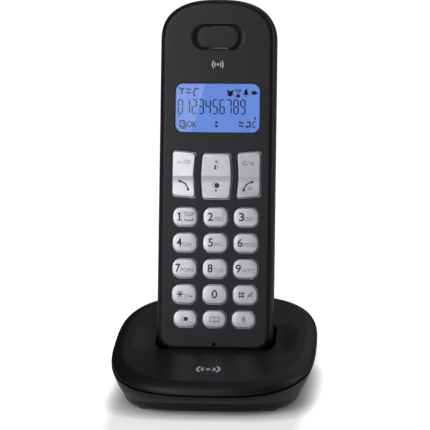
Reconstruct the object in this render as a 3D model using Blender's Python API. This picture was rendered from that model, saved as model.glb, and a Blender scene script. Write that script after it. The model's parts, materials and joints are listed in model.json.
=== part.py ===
"""Cordless telephone: a handset standing in its charging base.

Metres, +Z up, the keys face -Y. The origin is the middle of the base's foot print.
Handset pieces are modelled in the handset's own frame, then leaned back with it:
x to the right, y into the handset (0 at the key face), z up along the handset.
"""
import math

import bmesh
import bpy
from mathutils import Matrix

MM = 0.001
GAP = 0.3 * MM                       # air left between pieces that touch
CUT = 20 * MM                        # how far a cutter runs past the wall it opens
TALL = 60 * MM                       # a cutter that clears everything above it

# Handset
LEAN = math.radians(10.2)            # how far the docked handset leans back
FACE_Y = -7.5 * MM                   # where its key face passes, at the height below
FACE_Z = 30 * MM
HALF_WIDTH = 24 * MM
TOP = 132.9 * MM
BOTTOM = -13.5 * MM
PARTING = 12.3 * MM                  # depth of the joint between front and rear covers
THICKNESS = 24.5 * MM
WALL = 1.8 * MM
CROWN = 17.5 * MM                    # height of the rounded top end
CROWN_POWER = 2.5
CHIN_RADIUS = 7.5 * MM

# Keys
COLUMN_PITCH = 12.6 * MM
ROW_PITCH = 10.64 * MM
FIRST_ROW = 42.3 * MM
KEY_SIZE = (10.2 * MM, 7.7 * MM, 3.0 * MM)           # width, height, corner radius
LAST_ROW = 0.2 * MM
LAST_COLUMN_PITCH = 12.05 * MM
LAST_KEY_SIZE = (9.7 * MM, 6.8 * MM, 2.9 * MM)
KEY_HEIGHT = 0.9 * MM                # how far a key stands out of the face
KEY_CLEARANCE = 0.35 * MM
KEY_FLANGE = 0.8 * MM
KEY_EDGE = 0.45 * MM                 # height of the step round a key's top
ROCKER_CENTRE = 59.8 * MM
ROCKER_SIDE = 13.4 * MM
ROCKER_AXIS_DEPTH = 2.6 * MM

# Display, sound and electronics
WINDOW = (0, 87.6 * MM, 34.6 * MM, 19.9 * MM, 3 * MM)  # x, z, width, height, corner radius
EARPIECE = (0, 116.9 * MM, 17.5 * MM, 9.4 * MM, 4.6 * MM)
MICROPHONE_Z = -10.2 * MM
MICROPHONE_HOLE = 0.6 * MM
RINGER_Z = 100 * MM
MAT_DEPTH = 4.0 * MM
MAT = (37 * MM, 75 * MM, 32.4 * MM, 3 * MM)            # width, height, middle z, corner radius
MAT_THICKNESS = 0.8 * MM
BOARD_DEPTH = 5.1 * MM
BOARD = (38 * MM, 111 * MM, 49.5 * MM, 2 * MM)         # width, height, middle z, corner radius
BOARD_THICKNESS = 1.2 * MM

# Battery bay, cells and door
CELL_RADIUS = 5.25 * MM
CELL_LENGTH = 44.5 * MM
CELL_X = 5.6 * MM
CELL_DEPTH = 16.9 * MM
BAY = (12.3 * MM, 13 * MM, 64.4 * MM, 11.2 * MM)       # half width, low z, high z, floor depth
DOOR = (14.6 * MM, 10 * MM, 80 * MM, 1.5 * MM)         # half width, low z, high z, thickness
SCREW_X = 9 * MM
SCREW_Z = 73 * MM
CONTACT_X = 10 * MM
CONTACT_DEPTH = 17 * MM
PLATE_HALF = (2.5 * MM, 1.5 * MM)                      # half width and half depth
PLATE_HEIGHT = 3.9 * MM

# Base
BASE_HALF_WIDTH = 42 * MM
BASE_HALF_DEPTH = 55.8 * MM
BASE_POWER = 2.9
SEAM_Z = 8.3 * MM                    # height of the seam at the front
SEAM_SLOPE = 0.172
CREST_INSET = 4.6 * MM               # from the seam in to the crease round the top
CREST_Z = 13.6 * MM                  # height of that crease at the front
CREST_SLOPE = 0.157
FOOT_HALF_WIDTH = 35.9 * MM
FOOT_HALF_DEPTH = 48.5 * MM
FOOT_POWER = 3.7
FOOT_Y = -0.8 * MM
UNDERSIDE = 0.6 * MM
SHELL = 2 * MM
DISH_FRONT = -21.3 * MM
WELL_GAP = 1.0 * MM
WELL_FLOOR = BOTTOM - GAP
BASE_BOARD_Z = 4.2 * MM
BOSS_BOTTOM = 8.5 * MM
BASE_SCREWS = [(x * MM, y * MM) for y in (-27, 27) for x in (-25, 25)]
FEET = [(x * MM, y * MM) for y in (-39, 38) for x in (-24, 24)]
BOARD_STUDS = [(x * MM, y * MM) for y in (-8, 30) for x in (-17, 17)]
JACK_Y = 48.8 * MM                   # outer face of the two sockets
LINE_JACK_X = -15 * MM
POWER_JACK_X = 15 * MM
PAGE_BUTTON_Z = 17.5 * MM
PAGE_BUTTON_FACE = 53.8 * MM         # y of the button's outer face
SPRING_RADIUS = 2.4 * MM             # of the arch at the top of a contact spring
SPRING_STRIP = 0.5 * MM
SPRING_HEIGHT = 6.2 * MM

PARTS = "cordless_phone"


# ---------------------------------------------------------------- scene and materials

def clear_scene():
    for old in list(bpy.data.objects):
        bpy.data.objects.remove(old, do_unlink=True)


def collection(name):
    found = bpy.data.collections.get(name)
    if found is None:
        found = bpy.data.collections.new(name)
        bpy.context.scene.collection.children.link(found)
    return found


def material(name, colour, roughness, metallic=0.0):
    found = bpy.data.materials.get(name) or bpy.data.materials.new(name)
    found.use_nodes = True
    shader = found.node_tree.nodes["Principled BSDF"]
    shader.inputs["Base Color"].default_value = (*colour, 1)
    shader.inputs["Roughness"].default_value = roughness
    shader.inputs["Metallic"].default_value = metallic
    return found


FINISHES = {
    "handset_plastic": ((0.022, 0.022, 0.024), 0.42, 0.0),
    "base_plastic": ((0.016, 0.017, 0.02), 0.32, 0.0),
    "silver_key": ((0.62, 0.62, 0.65), 0.35, 0.3),
    "window": ((0.05, 0.09, 0.25), 0.08, 0.0),
    "display": ((0.16, 0.24, 0.62), 0.3, 0.0),
    "circuit_board": ((0.02, 0.16, 0.06), 0.5, 0.0),
    "rubber": ((0.03, 0.03, 0.03), 0.8, 0.0),
    "nickel": ((0.7, 0.68, 0.64), 0.25, 1.0),
    "speaker_metal": ((0.35, 0.35, 0.36), 0.4, 0.9),
    "cell_sleeve": ((0.05, 0.3, 0.1), 0.4, 0.0),
    "screw_steel": ((0.45, 0.45, 0.47), 0.35, 1.0),
}


def add(name, mesh, finish=None, parent=None, place=(0, 0, 0)):
    """One finished piece in the parts collection, or a cutter when it has no finish."""
    piece = bpy.data.objects.new(name, mesh)
    piece.parent = parent
    piece.location = place
    if finish:
        mesh.materials.append(material(finish, *FINISHES[finish]))
        collection(PARTS).objects.link(piece)
    else:
        piece.hide_render = True
        piece.display_type = "WIRE"
        collection("cutters").objects.link(piece)
    return piece


def boolean(piece, tool, operation="DIFFERENCE"):
    step = piece.modifiers.new(tool.name, "BOOLEAN")
    step.operation = operation
    step.object = tool
    step.solver = "EXACT"


# ---------------------------------------------------------------- shapes

def to_mesh(name, bm):
    bmesh.ops.recalc_face_normals(bm, faces=bm.faces)
    mesh = bpy.data.meshes.new(name)
    bm.to_mesh(mesh)
    bm.free()
    mesh.shade_smooth()
    mesh.set_sharp_from_angle(angle=math.radians(32))
    return mesh


def loft(bm, rings):
    """A closed skin through rings of equal length, capped at both ends."""
    loops = [[bm.verts.new(point) for point in ring] for ring in rings]
    for low, high in zip(loops, loops[1:]):
        for i in range(len(low)):
            j = (i + 1) % len(low)
            bm.faces.new((low[i], low[j], high[j], high[i]))
    bm.faces.new(loops[0])
    bm.faces.new(loops[-1])


def lofted(name, rings):
    bm = bmesh.new()
    loft(bm, rings)
    return to_mesh(name, bm)


def pushed(bm, outline, start, steps, axis="Y"):
    """An outline made a face and pushed along an axis in steps of (inset, advance)."""
    across = {"Y": lambda u, w: (u, start, w), "Z": lambda u, w: (u, w, start),
              "X": lambda u, w: (start, u, w)}[axis]
    along = {"X": (1, 0, 0), "Y": (0, 1, 0), "Z": (0, 0, 1)}[axis]
    top = raised(bm, bm.faces.new([bm.verts.new(across(*point)) for point in outline]))
    for index, (inset, advance) in enumerate(steps):
        if inset:
            bmesh.ops.inset_region(bm, faces=[top], thickness=inset, use_even_offset=True)
        if index > 0:
            low = top
            top = raised(bm, low)
            bmesh.ops.delete(bm, geom=[low], context="FACES")
        bmesh.ops.translate(bm, verts=top.verts, vec=[advance * c for c in along])


def raised(bm, face):
    """A second face joined to the first by walls of no height yet."""
    grown = bmesh.ops.extrude_face_region(bm, geom=[face])["geom"]
    return next(item for item in grown if isinstance(item, bmesh.types.BMFace))


def prism(name, outline, start, steps, axis="Y"):
    bm = bmesh.new()
    pushed(bm, outline, start, steps, axis)
    return to_mesh(name, bm)


def box(bm, low, high):
    size = [b - a for a, b in zip(low, high)]
    middle = [(a + b) / 2 for a, b in zip(low, high)]
    place = Matrix.Translation(middle) @ Matrix.Diagonal((*size, 1))
    bmesh.ops.create_cube(bm, size=1, matrix=place)


def rod(bm, centre, radius, length, axis="Y", segments=24):
    """A cylinder whose middle is at centre."""
    turn = {"X": Matrix.Rotation(math.pi / 2, 4, "Y"), "Y": Matrix.Rotation(math.pi / 2, 4, "X"),
            "Z": Matrix.Identity(4)}[axis]
    bmesh.ops.create_cone(bm, cap_ends=True, segments=segments, radius1=radius, radius2=radius,
                          depth=length, matrix=Matrix.Translation(centre) @ turn)


def boxes(name, corners):
    bm = bmesh.new()
    for low, high in corners:
        box(bm, low, high)
    return to_mesh(name, bm)


def rods(name, specs, axis="Y", segments=24):
    bm = bmesh.new()
    for centre, radius, length in specs:
        rod(bm, centre, radius, length, axis, segments)
    return to_mesh(name, bm)


def rounded(width, height, radius, x=0, z=0, steps=3):
    """A rectangle with round corners, anticlockwise."""
    points = []
    for quarter, (side, end) in enumerate(((1, 1), (-1, 1), (-1, -1), (1, -1))):
        for k in range(steps + 1):
            angle = math.pi / 2 * (quarter + k / steps)
            points.append((x + side * (width / 2 - radius) + radius * math.cos(angle),
                           z + end * (height / 2 - radius) + radius * math.sin(angle)))
    return points


def softened(corners, steps=3):
    """A polygon whose corners (x, z, cut) are rounded off, starting the cut before each."""
    points = []
    for i, (x, z, cut) in enumerate(corners):
        ends = []
        for other in (corners[i - 1], corners[(i + 1) % len(corners)]):
            reach = math.dist((x, z), other[:2])
            ends.append((x + (other[0] - x) * cut / reach, z + (other[1] - z) * cut / reach))
        for k in range(steps + 1):
            t = k / steps
            weights = ((1 - t) ** 2, 2 * t * (1 - t), t ** 2)
            points.append(tuple(weights[0] * a + weights[1] * c + weights[2] * b
                                for a, c, b in zip(ends[0], (x, z), ends[1])))
    return points


def casing_outline(inset):
    """The handset seen from the front: straight sides, a rounded top and round chin corners."""
    half = HALF_WIDTH - inset
    crown = CROWN - inset * 0.6
    shoulder = TOP - inset - crown
    points = []
    for k in range(25):
        angle = math.pi * k / 24
        points.append((half * signed_power(math.cos(angle), 2 / CROWN_POWER),
                       shoulder + crown * signed_power(math.sin(angle), 2 / CROWN_POWER)))
    radius = max(CHIN_RADIUS - inset, 1.5 * MM)
    for side in (-1, 1):
        for k in range(6):
            angle = math.pi / 2 * (k / 5 if side < 0 else 1 - k / 5)
            points.append((side * (half - radius + radius * math.cos(angle)),
                           BOTTOM + inset + radius - radius * math.sin(angle)))
    return points


def signed_power(value, power):
    return math.copysign(abs(value) ** power, value)


def casing_ring(depth, inset):
    return [(x, depth, z) for x, z in casing_outline(inset)]


def oval(half_width, half_depth, power, height, y=0.0, steps=44):
    """A superellipse in plan; height gives z from a point's y."""
    ring = []
    for k in range(steps):
        angle = 2 * math.pi * k / steps
        px = half_width * signed_power(math.cos(angle), 2 / power)
        py = y + half_depth * signed_power(math.sin(angle), 2 / power)
        ring.append((px, py, height(py)))
    return ring


def base_ring(inset, height):
    return oval(BASE_HALF_WIDTH - inset, BASE_HALF_DEPTH - inset, BASE_POWER, height)


def foot_ring(inset, z):
    return oval(FOOT_HALF_WIDTH - inset, FOOT_HALF_DEPTH - inset, FOOT_POWER, lambda y: z, FOOT_Y)


def seam(offset):
    return lambda y: SEAM_Z + SEAM_SLOPE * (y + BASE_HALF_DEPTH) + offset


def crest(offset):
    return lambda y: CREST_Z + CREST_SLOPE * (y + BASE_HALF_DEPTH - CREST_INSET) + offset


def band(share):
    """A height that share of the way from the seam up to the crest."""
    return lambda y: (1 - share) * seam(0)(y) + share * crest(0)(y)


# ---------------------------------------------------------------- keys

def key_rows():
    """Each small key's name, place and size."""
    names = (("key_1", "key_2", "key_3"), ("key_4", "key_5", "key_6"),
             ("key_7", "key_8", "key_9"), ("key_star", "key_0", "key_hash"))
    for row, trio in enumerate(names):
        for column, name in zip((-1, 0, 1), trio):
            yield name, column * COLUMN_PITCH, FIRST_ROW - row * ROW_PITCH, KEY_SIZE
    for column, name in zip((-1, 0, 1), ("key_redial", "key_phonebook", "key_recall")):
        yield name, column * LAST_COLUMN_PITCH, LAST_ROW, LAST_KEY_SIZE


def side_rocker(side, grow=0.0):
    """Outer rocker outline about its own centre; its inner side is hollow."""
    inner, outer = 4.8 * MM + grow, 4.8 * MM + grow
    corners = [(-inner, 8.9 * MM + grow, 1.6 * MM), (-inner + 0.8 * MM, 0, 4 * MM),
               (-inner, -9.5 * MM - grow, 1.6 * MM), (outer, -8.6 * MM - grow, 1.6 * MM),
               (outer, 9.8 * MM + grow, 1.6 * MM)]
    return softened([(side * x, z, cut) for x, z, cut in corners])


def middle_rocker(grow=0.0):
    """The navigator's outline about its own centre; both sides bulge."""
    waist, end = 6.5 * MM + grow, 5.6 * MM + grow
    return softened([(end, 8.7 * MM + grow, 1.5 * MM), (-end, 8.7 * MM + grow, 1.5 * MM),
                     (-waist, -0.5 * MM, 5 * MM), (-end, -9.8 * MM - grow, 1.5 * MM),
                     (end, -9.8 * MM - grow, 1.5 * MM), (waist, -0.5 * MM, 5 * MM)])


def rocker_set():
    yield "key_menu_talk", -ROCKER_SIDE, lambda grow=0.0: side_rocker(-1, grow)
    yield "key_navigator", 0.0, middle_rocker
    yield "key_clear_end", ROCKER_SIDE, lambda grow=0.0: side_rocker(1, grow)


def make_keys(frame):
    """Small keys, each with a flange behind the cover that keeps it in."""
    flange_back = WALL + GAP + KEY_FLANGE
    for name, x, z, (width, height, radius) in key_rows():
        grown = rounded(width + 2 * KEY_FLANGE, height + 2 * KEY_FLANGE, radius + KEY_FLANGE)
        steps = [(0, -KEY_FLANGE), (KEY_FLANGE, -(WALL + GAP + KEY_HEIGHT - KEY_EDGE)),
                 (KEY_EDGE * 0.9, 0), (0, -KEY_EDGE)]
        add(name, prism(name, grown, flange_back, steps), "silver_key", frame, (x, 0, z))


def make_rockers(frame):
    """Three long keys that tip about a level axis across their middles."""
    steps = [(0, -KEY_FLANGE), (KEY_FLANGE, -(ROCKER_AXIS_DEPTH + KEY_HEIGHT - KEY_EDGE)),
             (KEY_EDGE * 0.9, 0), (0, -KEY_EDGE)]
    for name, x, outline in rocker_set():
        mesh = prism(name, outline(KEY_FLANGE), KEY_FLANGE, steps)
        add(name, mesh, "silver_key", frame, (x, ROCKER_AXIS_DEPTH, ROCKER_CENTRE))


# ---------------------------------------------------------------- handset

def front_cutters(frame):
    """Openings through the front cover: keys, window, earpiece and microphone hole."""
    bm = bmesh.new()
    through = [(0, CUT)]
    start = WALL + GAP - CUT
    for _, x, z, (width, height, radius) in key_rows():
        hole = rounded(width + 2 * KEY_CLEARANCE, height + 2 * KEY_CLEARANCE, radius, x, z)
        pushed(bm, hole, start, through)
    for _, x, outline in rocker_set():
        hole = [(x + u, ROCKER_CENTRE + w) for u, w in outline(KEY_CLEARANCE + 0.1 * MM)]
        pushed(bm, hole, start, through)
    for x, z, width, height, radius in (WINDOW, EARPIECE):
        pushed(bm, rounded(width + 2 * GAP, height + 2 * GAP, radius, x, z), start, through)
    rod(bm, (0, 0, MICROPHONE_Z), MICROPHONE_HOLE, 14 * MM, "Y", 10)
    return add("front_openings", to_mesh("front_openings", bm), parent=frame)


def make_front_cover(frame):
    inner = [casing_ring(WALL, 4.4 * MM), casing_ring(3.2 * MM, 2.5 * MM),
             casing_ring(6 * MM, WALL), casing_ring(PARTING, WALL)]
    outer = [casing_ring(PARTING, 0), casing_ring(4.4 * MM, 0), casing_ring(3.26 * MM, 0.09 * MM),
             casing_ring(2.2 * MM, 0.4 * MM), casing_ring(0.7 * MM, 1.3 * MM),
             casing_ring(0, 2.7 * MM)]
    cover = add("handset_front_cover", lofted("handset_front_cover", inner + outer),
                "handset_plastic", frame)
    pillar_length = BOARD_DEPTH + BOARD_THICKNESS + 3 * MM - WALL / 2
    pillars = rods("front_pillars", [((side * SCREW_X, WALL / 2 + pillar_length / 2, SCREW_Z),
                                      2.4 * MM, pillar_length) for side in (-1, 1)])
    boolean(cover, add("front_pillars", pillars, parent=frame), "UNION")
    boolean(cover, front_cutters(frame))
    holes = rods("front_pillar_holes", [((side * SCREW_X, 3 * MM + CUT / 2, SCREW_Z),
                                         1.3 * MM, CUT) for side in (-1, 1)], segments=12)
    boolean(cover, add("front_pillar_holes", holes, parent=frame))


def rear_cutters(frame):
    """Battery bay, door recess, sound slots, screw bores and slots for the charge plates."""
    bay_half, bay_low, bay_high, bay_floor = BAY
    door_half, door_low, door_high, door_thickness = DOOR
    ledge = THICKNESS - door_thickness - GAP
    bm = bmesh.new()
    box(bm, (-bay_half, bay_floor, bay_low), (bay_half, ledge + 1 * MM, bay_high))
    bay = add("battery_bay", to_mesh("battery_bay", bm), parent=frame)
    outline = rounded(2 * (door_half + GAP), door_high - door_low + 2 * GAP, 2.3 * MM,
                      0, (door_low + door_high) / 2)
    recess = prism("door_recess", outline, ledge, [(0, CUT)])
    bm = bmesh.new()
    for k in range(-2, 3):
        slot = rounded(14 * MM, 1.2 * MM, 0.59 * MM, 0, RINGER_Z + k * 2.6 * MM)
        pushed(bm, slot, THICKNESS - WALL - 1 * MM, [(0, CUT)])
    for side in (-1, 1):
        rod(bm, (side * SCREW_X, ledge - 2.2 * MM + CUT / 2, SCREW_Z), 2.6 * MM, CUT)
        box(bm, (side * CONTACT_X - 2.8 * MM, CONTACT_DEPTH - 1.8 * MM, BOTTOM - 1 * MM),
            (side * CONTACT_X + 2.8 * MM, CONTACT_DEPTH + 1.8 * MM, BOTTOM + 4.5 * MM))
    fittings = add("rear_openings", to_mesh("rear_openings", bm), parent=frame)
    shanks = rods("rear_shank_holes", [((side * SCREW_X, ledge - 6 * MM, SCREW_Z),
                                        1.3 * MM, CUT) for side in (-1, 1)], segments=12)
    return [bay, add("door_recess", recess, parent=frame), fittings,
            add("rear_shank_holes", shanks, parent=frame)]


def make_rear_cover(frame):
    back = THICKNESS
    inner = [casing_ring(back - WALL, 9.6 * MM), casing_ring(back - 3 * MM, 6.4 * MM),
             casing_ring(back - 6 * MM, 3.2 * MM), casing_ring(PARTING + GAP, WALL)]
    outer = [casing_ring(PARTING + GAP, 0), casing_ring(PARTING + 3.4 * MM, 0.5 * MM),
             casing_ring(back - 4.8 * MM, 1.7 * MM), casing_ring(back - 2 * MM, 4 * MM),
             casing_ring(back - 0.6 * MM, 6.1 * MM), casing_ring(back, 8.3 * MM)]
    cover = add("handset_rear_cover", lofted("handset_rear_cover", inner + outer),
                "handset_plastic", frame)
    bay_half, bay_low, bay_high, bay_floor = BAY
    low = (-bay_half - 2.9 * MM, bay_floor - 0.9 * MM, bay_low - 1.2 * MM)
    high = (bay_half + 2.9 * MM, back - 1 * MM, bay_high + 1.2 * MM)
    tray = boxes("battery_tray", [(low, high)])
    boolean(cover, add("battery_tray", tray, parent=frame), "UNION")
    door_half, door_low, door_high, _ = DOOR
    low = (-door_half - 1.5 * MM, back - 4.2 * MM, door_low - 1.5 * MM)
    high = (door_half + 1.5 * MM, back - 0.9 * MM, door_high + 1.5 * MM)
    seat = boxes("door_seat", [(low, high)])
    boolean(cover, add("door_seat", seat, parent=frame), "UNION")
    front_end = BOARD_DEPTH + BOARD_THICKNESS + 3.3 * MM
    length = back - 1 * MM - front_end
    middle = front_end + length / 2
    posts = rods("rear_pillars", [((side * SCREW_X, middle, SCREW_Z), 3.6 * MM, length)
                                  for side in (-1, 1)])
    boolean(cover, add("rear_pillars", posts, parent=frame), "UNION")
    for tool in rear_cutters(frame):
        boolean(cover, tool)


def make_battery_door(frame):
    half, low, high, thickness = DOOR
    outline = rounded(2 * half, high - low, 2 * MM, 0, (low + high) / 2)
    rim = 0.3 * MM
    mesh = prism("battery_door", outline, THICKNESS - thickness,
                 [(0, thickness - rim), (rim, 0), (0, rim)])
    door = add("battery_door", mesh, "handset_plastic", frame)
    bm = bmesh.new()
    for k in range(4):
        groove = rounded((12 - 2 * k) * MM, 0.8 * MM, 0.39 * MM, 0, high - (4 + 2 * k) * MM)
        pushed(bm, groove, THICKNESS - 0.5 * MM, [(0, CUT)])
    boolean(door, add("door_grip_grooves", to_mesh("door_grip_grooves", bm), parent=frame))


def make_display(frame):
    x, z, width, height, radius = WINDOW
    lens = prism("window_lens", rounded(width, height, radius, x, z), 1.5 * MM, [(0, -1.35 * MM)])
    add("window_lens", lens, "window", frame)
    outline = rounded(width + 3.4 * MM, height + 3.6 * MM, 1 * MM, x, z, 2)
    module = prism("display_module", outline, WALL + GAP, [(0, 2.6 * MM)])
    add("display_module", module, "display", frame)


def make_sound(frame):
    x, z, width, height, radius = EARPIECE
    flange = 1 * MM
    grown = rounded(width + 2 * flange, height + 2 * flange, radius + flange, x, z, 6)
    steps = [(0, -0.8 * MM), (flange, -(WALL + GAP)), (0.6 * MM, 0), (0, -0.5 * MM)]
    grille = add("earpiece_grille", prism("earpiece_grille", grown, WALL + GAP + 0.8 * MM, steps),
                 "handset_plastic", frame)
    bm = bmesh.new()
    for side in (-1, 1):
        slot = rounded(8 * MM, 0.9 * MM, 0.44 * MM, x, z + side * 3.1 * MM)
        pushed(bm, slot, -CUT / 2, [(0, CUT)])
    boolean(grille, add("earpiece_slots", to_mesh("earpiece_slots", bm), parent=frame))
    add("earpiece_speaker", rods("earpiece_speaker", [((x, 5.3 * MM, z), 8 * MM, 3.4 * MM)]),
        "speaker_metal", frame)
    add("ringer_speaker", rods("ringer_speaker", [((0, 19.4 * MM, RINGER_Z), 9.5 * MM, 4.4 * MM)]),
        "speaker_metal", frame)
    add("microphone", rods("microphone", [((0, 3.7 * MM, -7.2 * MM), 1.8 * MM, 2 * MM)], segments=16),
        "speaker_metal", frame)


def make_boards(frame):
    width, height, z, radius = BOARD
    mesh = prism("handset_board", rounded(width, height, radius, 0, z), BOARD_DEPTH,
                 [(0, BOARD_THICKNESS)])
    board = add("handset_board", mesh, "circuit_board", frame)
    holes = rods("board_holes", [((side * SCREW_X, BOARD_DEPTH, SCREW_Z), 2.8 * MM, CUT)
                                 for side in (-1, 1)], segments=16)
    boolean(board, add("board_holes", holes, parent=frame))
    width, height, z, radius = MAT
    mat = prism("keypad_mat", rounded(width, height, radius, 0, z), MAT_DEPTH,
                [(0, MAT_THICKNESS)])
    add("keypad_mat", mat, "rubber", frame)


def make_cells(frame):
    low = (BAY[1] + BAY[2] - CELL_LENGTH) / 2
    high = low + CELL_LENGTH
    pip = 0.8 * MM
    for name, x in (("cell_left", -CELL_X), ("cell_right", CELL_X)):
        bm = bmesh.new()
        rod(bm, (x, CELL_DEPTH, low + (CELL_LENGTH - pip) / 2), CELL_RADIUS, CELL_LENGTH - pip, "Z")
        add(name, to_mesh(name, bm), "cell_sleeve", frame)
    for name, x in (("cell_spring_left", -CELL_X), ("cell_spring_right", CELL_X)):
        add_spring(name, x, BAY[1] + 0.6 * MM, low - GAP, frame)
    plate = rounded(20 * MM, 8 * MM, 1 * MM, 0, CELL_DEPTH, 2)
    mesh = prism("cell_bridge", plate, high + 0.5 * MM, [(0, 0.5 * MM)], "Z")
    add("cell_bridge", mesh, "nickel", frame)


def add_spring(name, x, low, high, frame):
    """A cone of wire that presses on the end of a cell."""
    wire, turns, steps = 0.3 * MM, 3, 8
    curve = bpy.data.curves.new(name, "CURVE")
    curve.dimensions = "3D"
    curve.bevel_depth = wire
    curve.bevel_resolution = 1
    curve.use_fill_caps = True
    line = curve.splines.new("POLY")
    count = turns * steps + 1
    line.points.add(count - 1)
    for k in range(count):
        share = k / (count - 1)
        angle = 2 * math.pi * turns * share
        radius = (3.6 - 1.6 * share) * MM
        height = low + wire + share * (high - low - 2 * wire)
        line.points[k].co = (x + radius * math.cos(angle), CELL_DEPTH + radius * math.sin(angle),
                             height, 1)
    add(name, curve, "nickel", frame)


def make_handset_fittings(frame):
    """Charge plates in the chin and the screws that hold the covers together."""
    for name, side in (("charge_plate_left", -1), ("charge_plate_right", 1)):
        x, bottom = side * CONTACT_X, BOTTOM + GAP
        low = (x - PLATE_HALF[0], CONTACT_DEPTH - PLATE_HALF[1], bottom)
        high = (x + PLATE_HALF[0], CONTACT_DEPTH + PLATE_HALF[1], bottom + PLATE_HEIGHT)
        add(name, boxes(name, [(low, high)]), "nickel", frame)
    head_top = THICKNESS - DOOR[3] - 2 * GAP
    head_height = 1.6 * MM
    for name, x in (("handset_screw_left", -SCREW_X), ("handset_screw_right", SCREW_X)):
        shank = prism(name, circle(1.0 * MM, x, SCREW_Z), 5 * MM, [(0, head_top - 6.2 * MM)])
        screw = add(name, shank, "screw_steel", frame)
        head_middle = (x, head_top - head_height / 2, SCREW_Z)
        head = rods(name + "_head", [(head_middle, 2.2 * MM, head_height)])
        boolean(screw, add(name + "_head", head, parent=frame), "UNION")
        boolean(screw, add(name + "_cross", cross(x, SCREW_Z, head_top), parent=frame))


def circle(radius, x=0.0, z=0.0, steps=12):
    angles = [2 * math.pi * k / steps for k in range(steps)]
    return [(x + radius * math.cos(a), z + radius * math.sin(a)) for a in angles]


def cross(x, z, top):
    """The cutter for a cross recess in a screw head that faces +Y."""
    arm, half, recess = 1.3 * MM, 0.25 * MM, 0.9 * MM
    outline = [(half, half), (half, arm), (-half, arm), (-half, half), (-arm, half), (-arm, -half),
               (-half, -half), (-half, -arm), (half, -arm), (half, -half), (arm, -half), (arm, half)]
    return prism("cross", [(x + u, z + w) for u, w in outline], top - recess, [(0, CUT)])


# ---------------------------------------------------------------- base

def well_outline(grow):
    """The handset's section across its length, grown by an even gap: x, then depth."""
    width, depth = 2 * (HALF_WIDTH + grow), THICKNESS + 2 * grow
    return rounded(width, depth, 5.5 * MM + grow, 0, THICKNESS / 2)


def cover_hollow(frame):
    """Everything inside the top cover except the tub that takes the handset and the bosses."""
    rings = [base_ring(2 * SHELL, lambda y: 5 * MM), base_ring(SHELL, seam(-1 * MM)),
             base_ring(SHELL + 0.3 * MM, seam(0.6 * MM)),
             base_ring(CREST_INSET + 3 * MM, crest(-4.2 * MM))]
    hollow = add("cover_hollow", lofted("cover_hollow", rings))
    tub = prism("tub_block", well_outline(WELL_GAP + SHELL), WELL_FLOOR - SHELL, [(0, TALL)], "Z")
    boolean(hollow, add("tub_block", tub, parent=frame))
    bosses = rods("cover_bosses", [((x, y, 0), 3.4 * MM, 2 * TALL) for x, y in BASE_SCREWS], "Z")
    boolean(hollow, add("cover_bosses", bosses))
    return hollow


def make_top_cover(frame):
    """The tilted upper shell: a rounded band up to the crest, a dish and the tub in it."""
    rings = [base_ring(5 * MM, lambda y: BOSS_BOTTOM), base_ring(5 * MM, seam(0)),
             base_ring(0.5 * MM, seam(0)), base_ring(0.5 * MM, seam(0.35 * MM)),
             base_ring(0, seam(0.55 * MM)), base_ring(0.2 * MM, band(0.35)),
             base_ring(1.2 * MM, band(0.7)), base_ring(2.7 * MM, band(0.91)),
             base_ring(CREST_INSET, crest(0))]
    cover = add("base_top_cover", lofted("base_top_cover", rings), "base_plastic")
    boolean(cover, cover_hollow(frame))
    front_z = crest(0)(DISH_FRONT)
    rise_y, rise_z = -9.5 * MM, front_z - 0.1 * MM
    back_y = 14 * MM
    side = [(DISH_FRONT, front_z), (rise_y, rise_z), (back_y, crest(0)(back_y)),
            (back_y, TALL), (DISH_FRONT, TALL)]
    half = 34 * MM
    boolean(cover, add("dish", prism("dish", side, -half, [(0, 2 * half)], "X")))
    well = prism("handset_well", well_outline(WELL_GAP), WELL_FLOOR, [(0, TALL)], "Z")
    boolean(cover, add("handset_well", well, parent=frame))
    bm = bmesh.new()
    for x in (-CONTACT_X, CONTACT_X):
        box(bm, (x - 2 * MM, CONTACT_DEPTH - 3.2 * MM, WELL_FLOOR - CUT / 4),
            (x + 2 * MM, CONTACT_DEPTH + 3.2 * MM, WELL_FLOOR + 1 * MM))
    boolean(cover, add("contact_slots", to_mesh("contact_slots", bm), parent=frame))
    bores = rods("boss_bores", [((x, y, BOSS_BOTTOM), 1.4 * MM, 12 * MM) for x, y in BASE_SCREWS],
                 "Z", 12)
    boolean(cover, add("boss_bores", bores))


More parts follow.
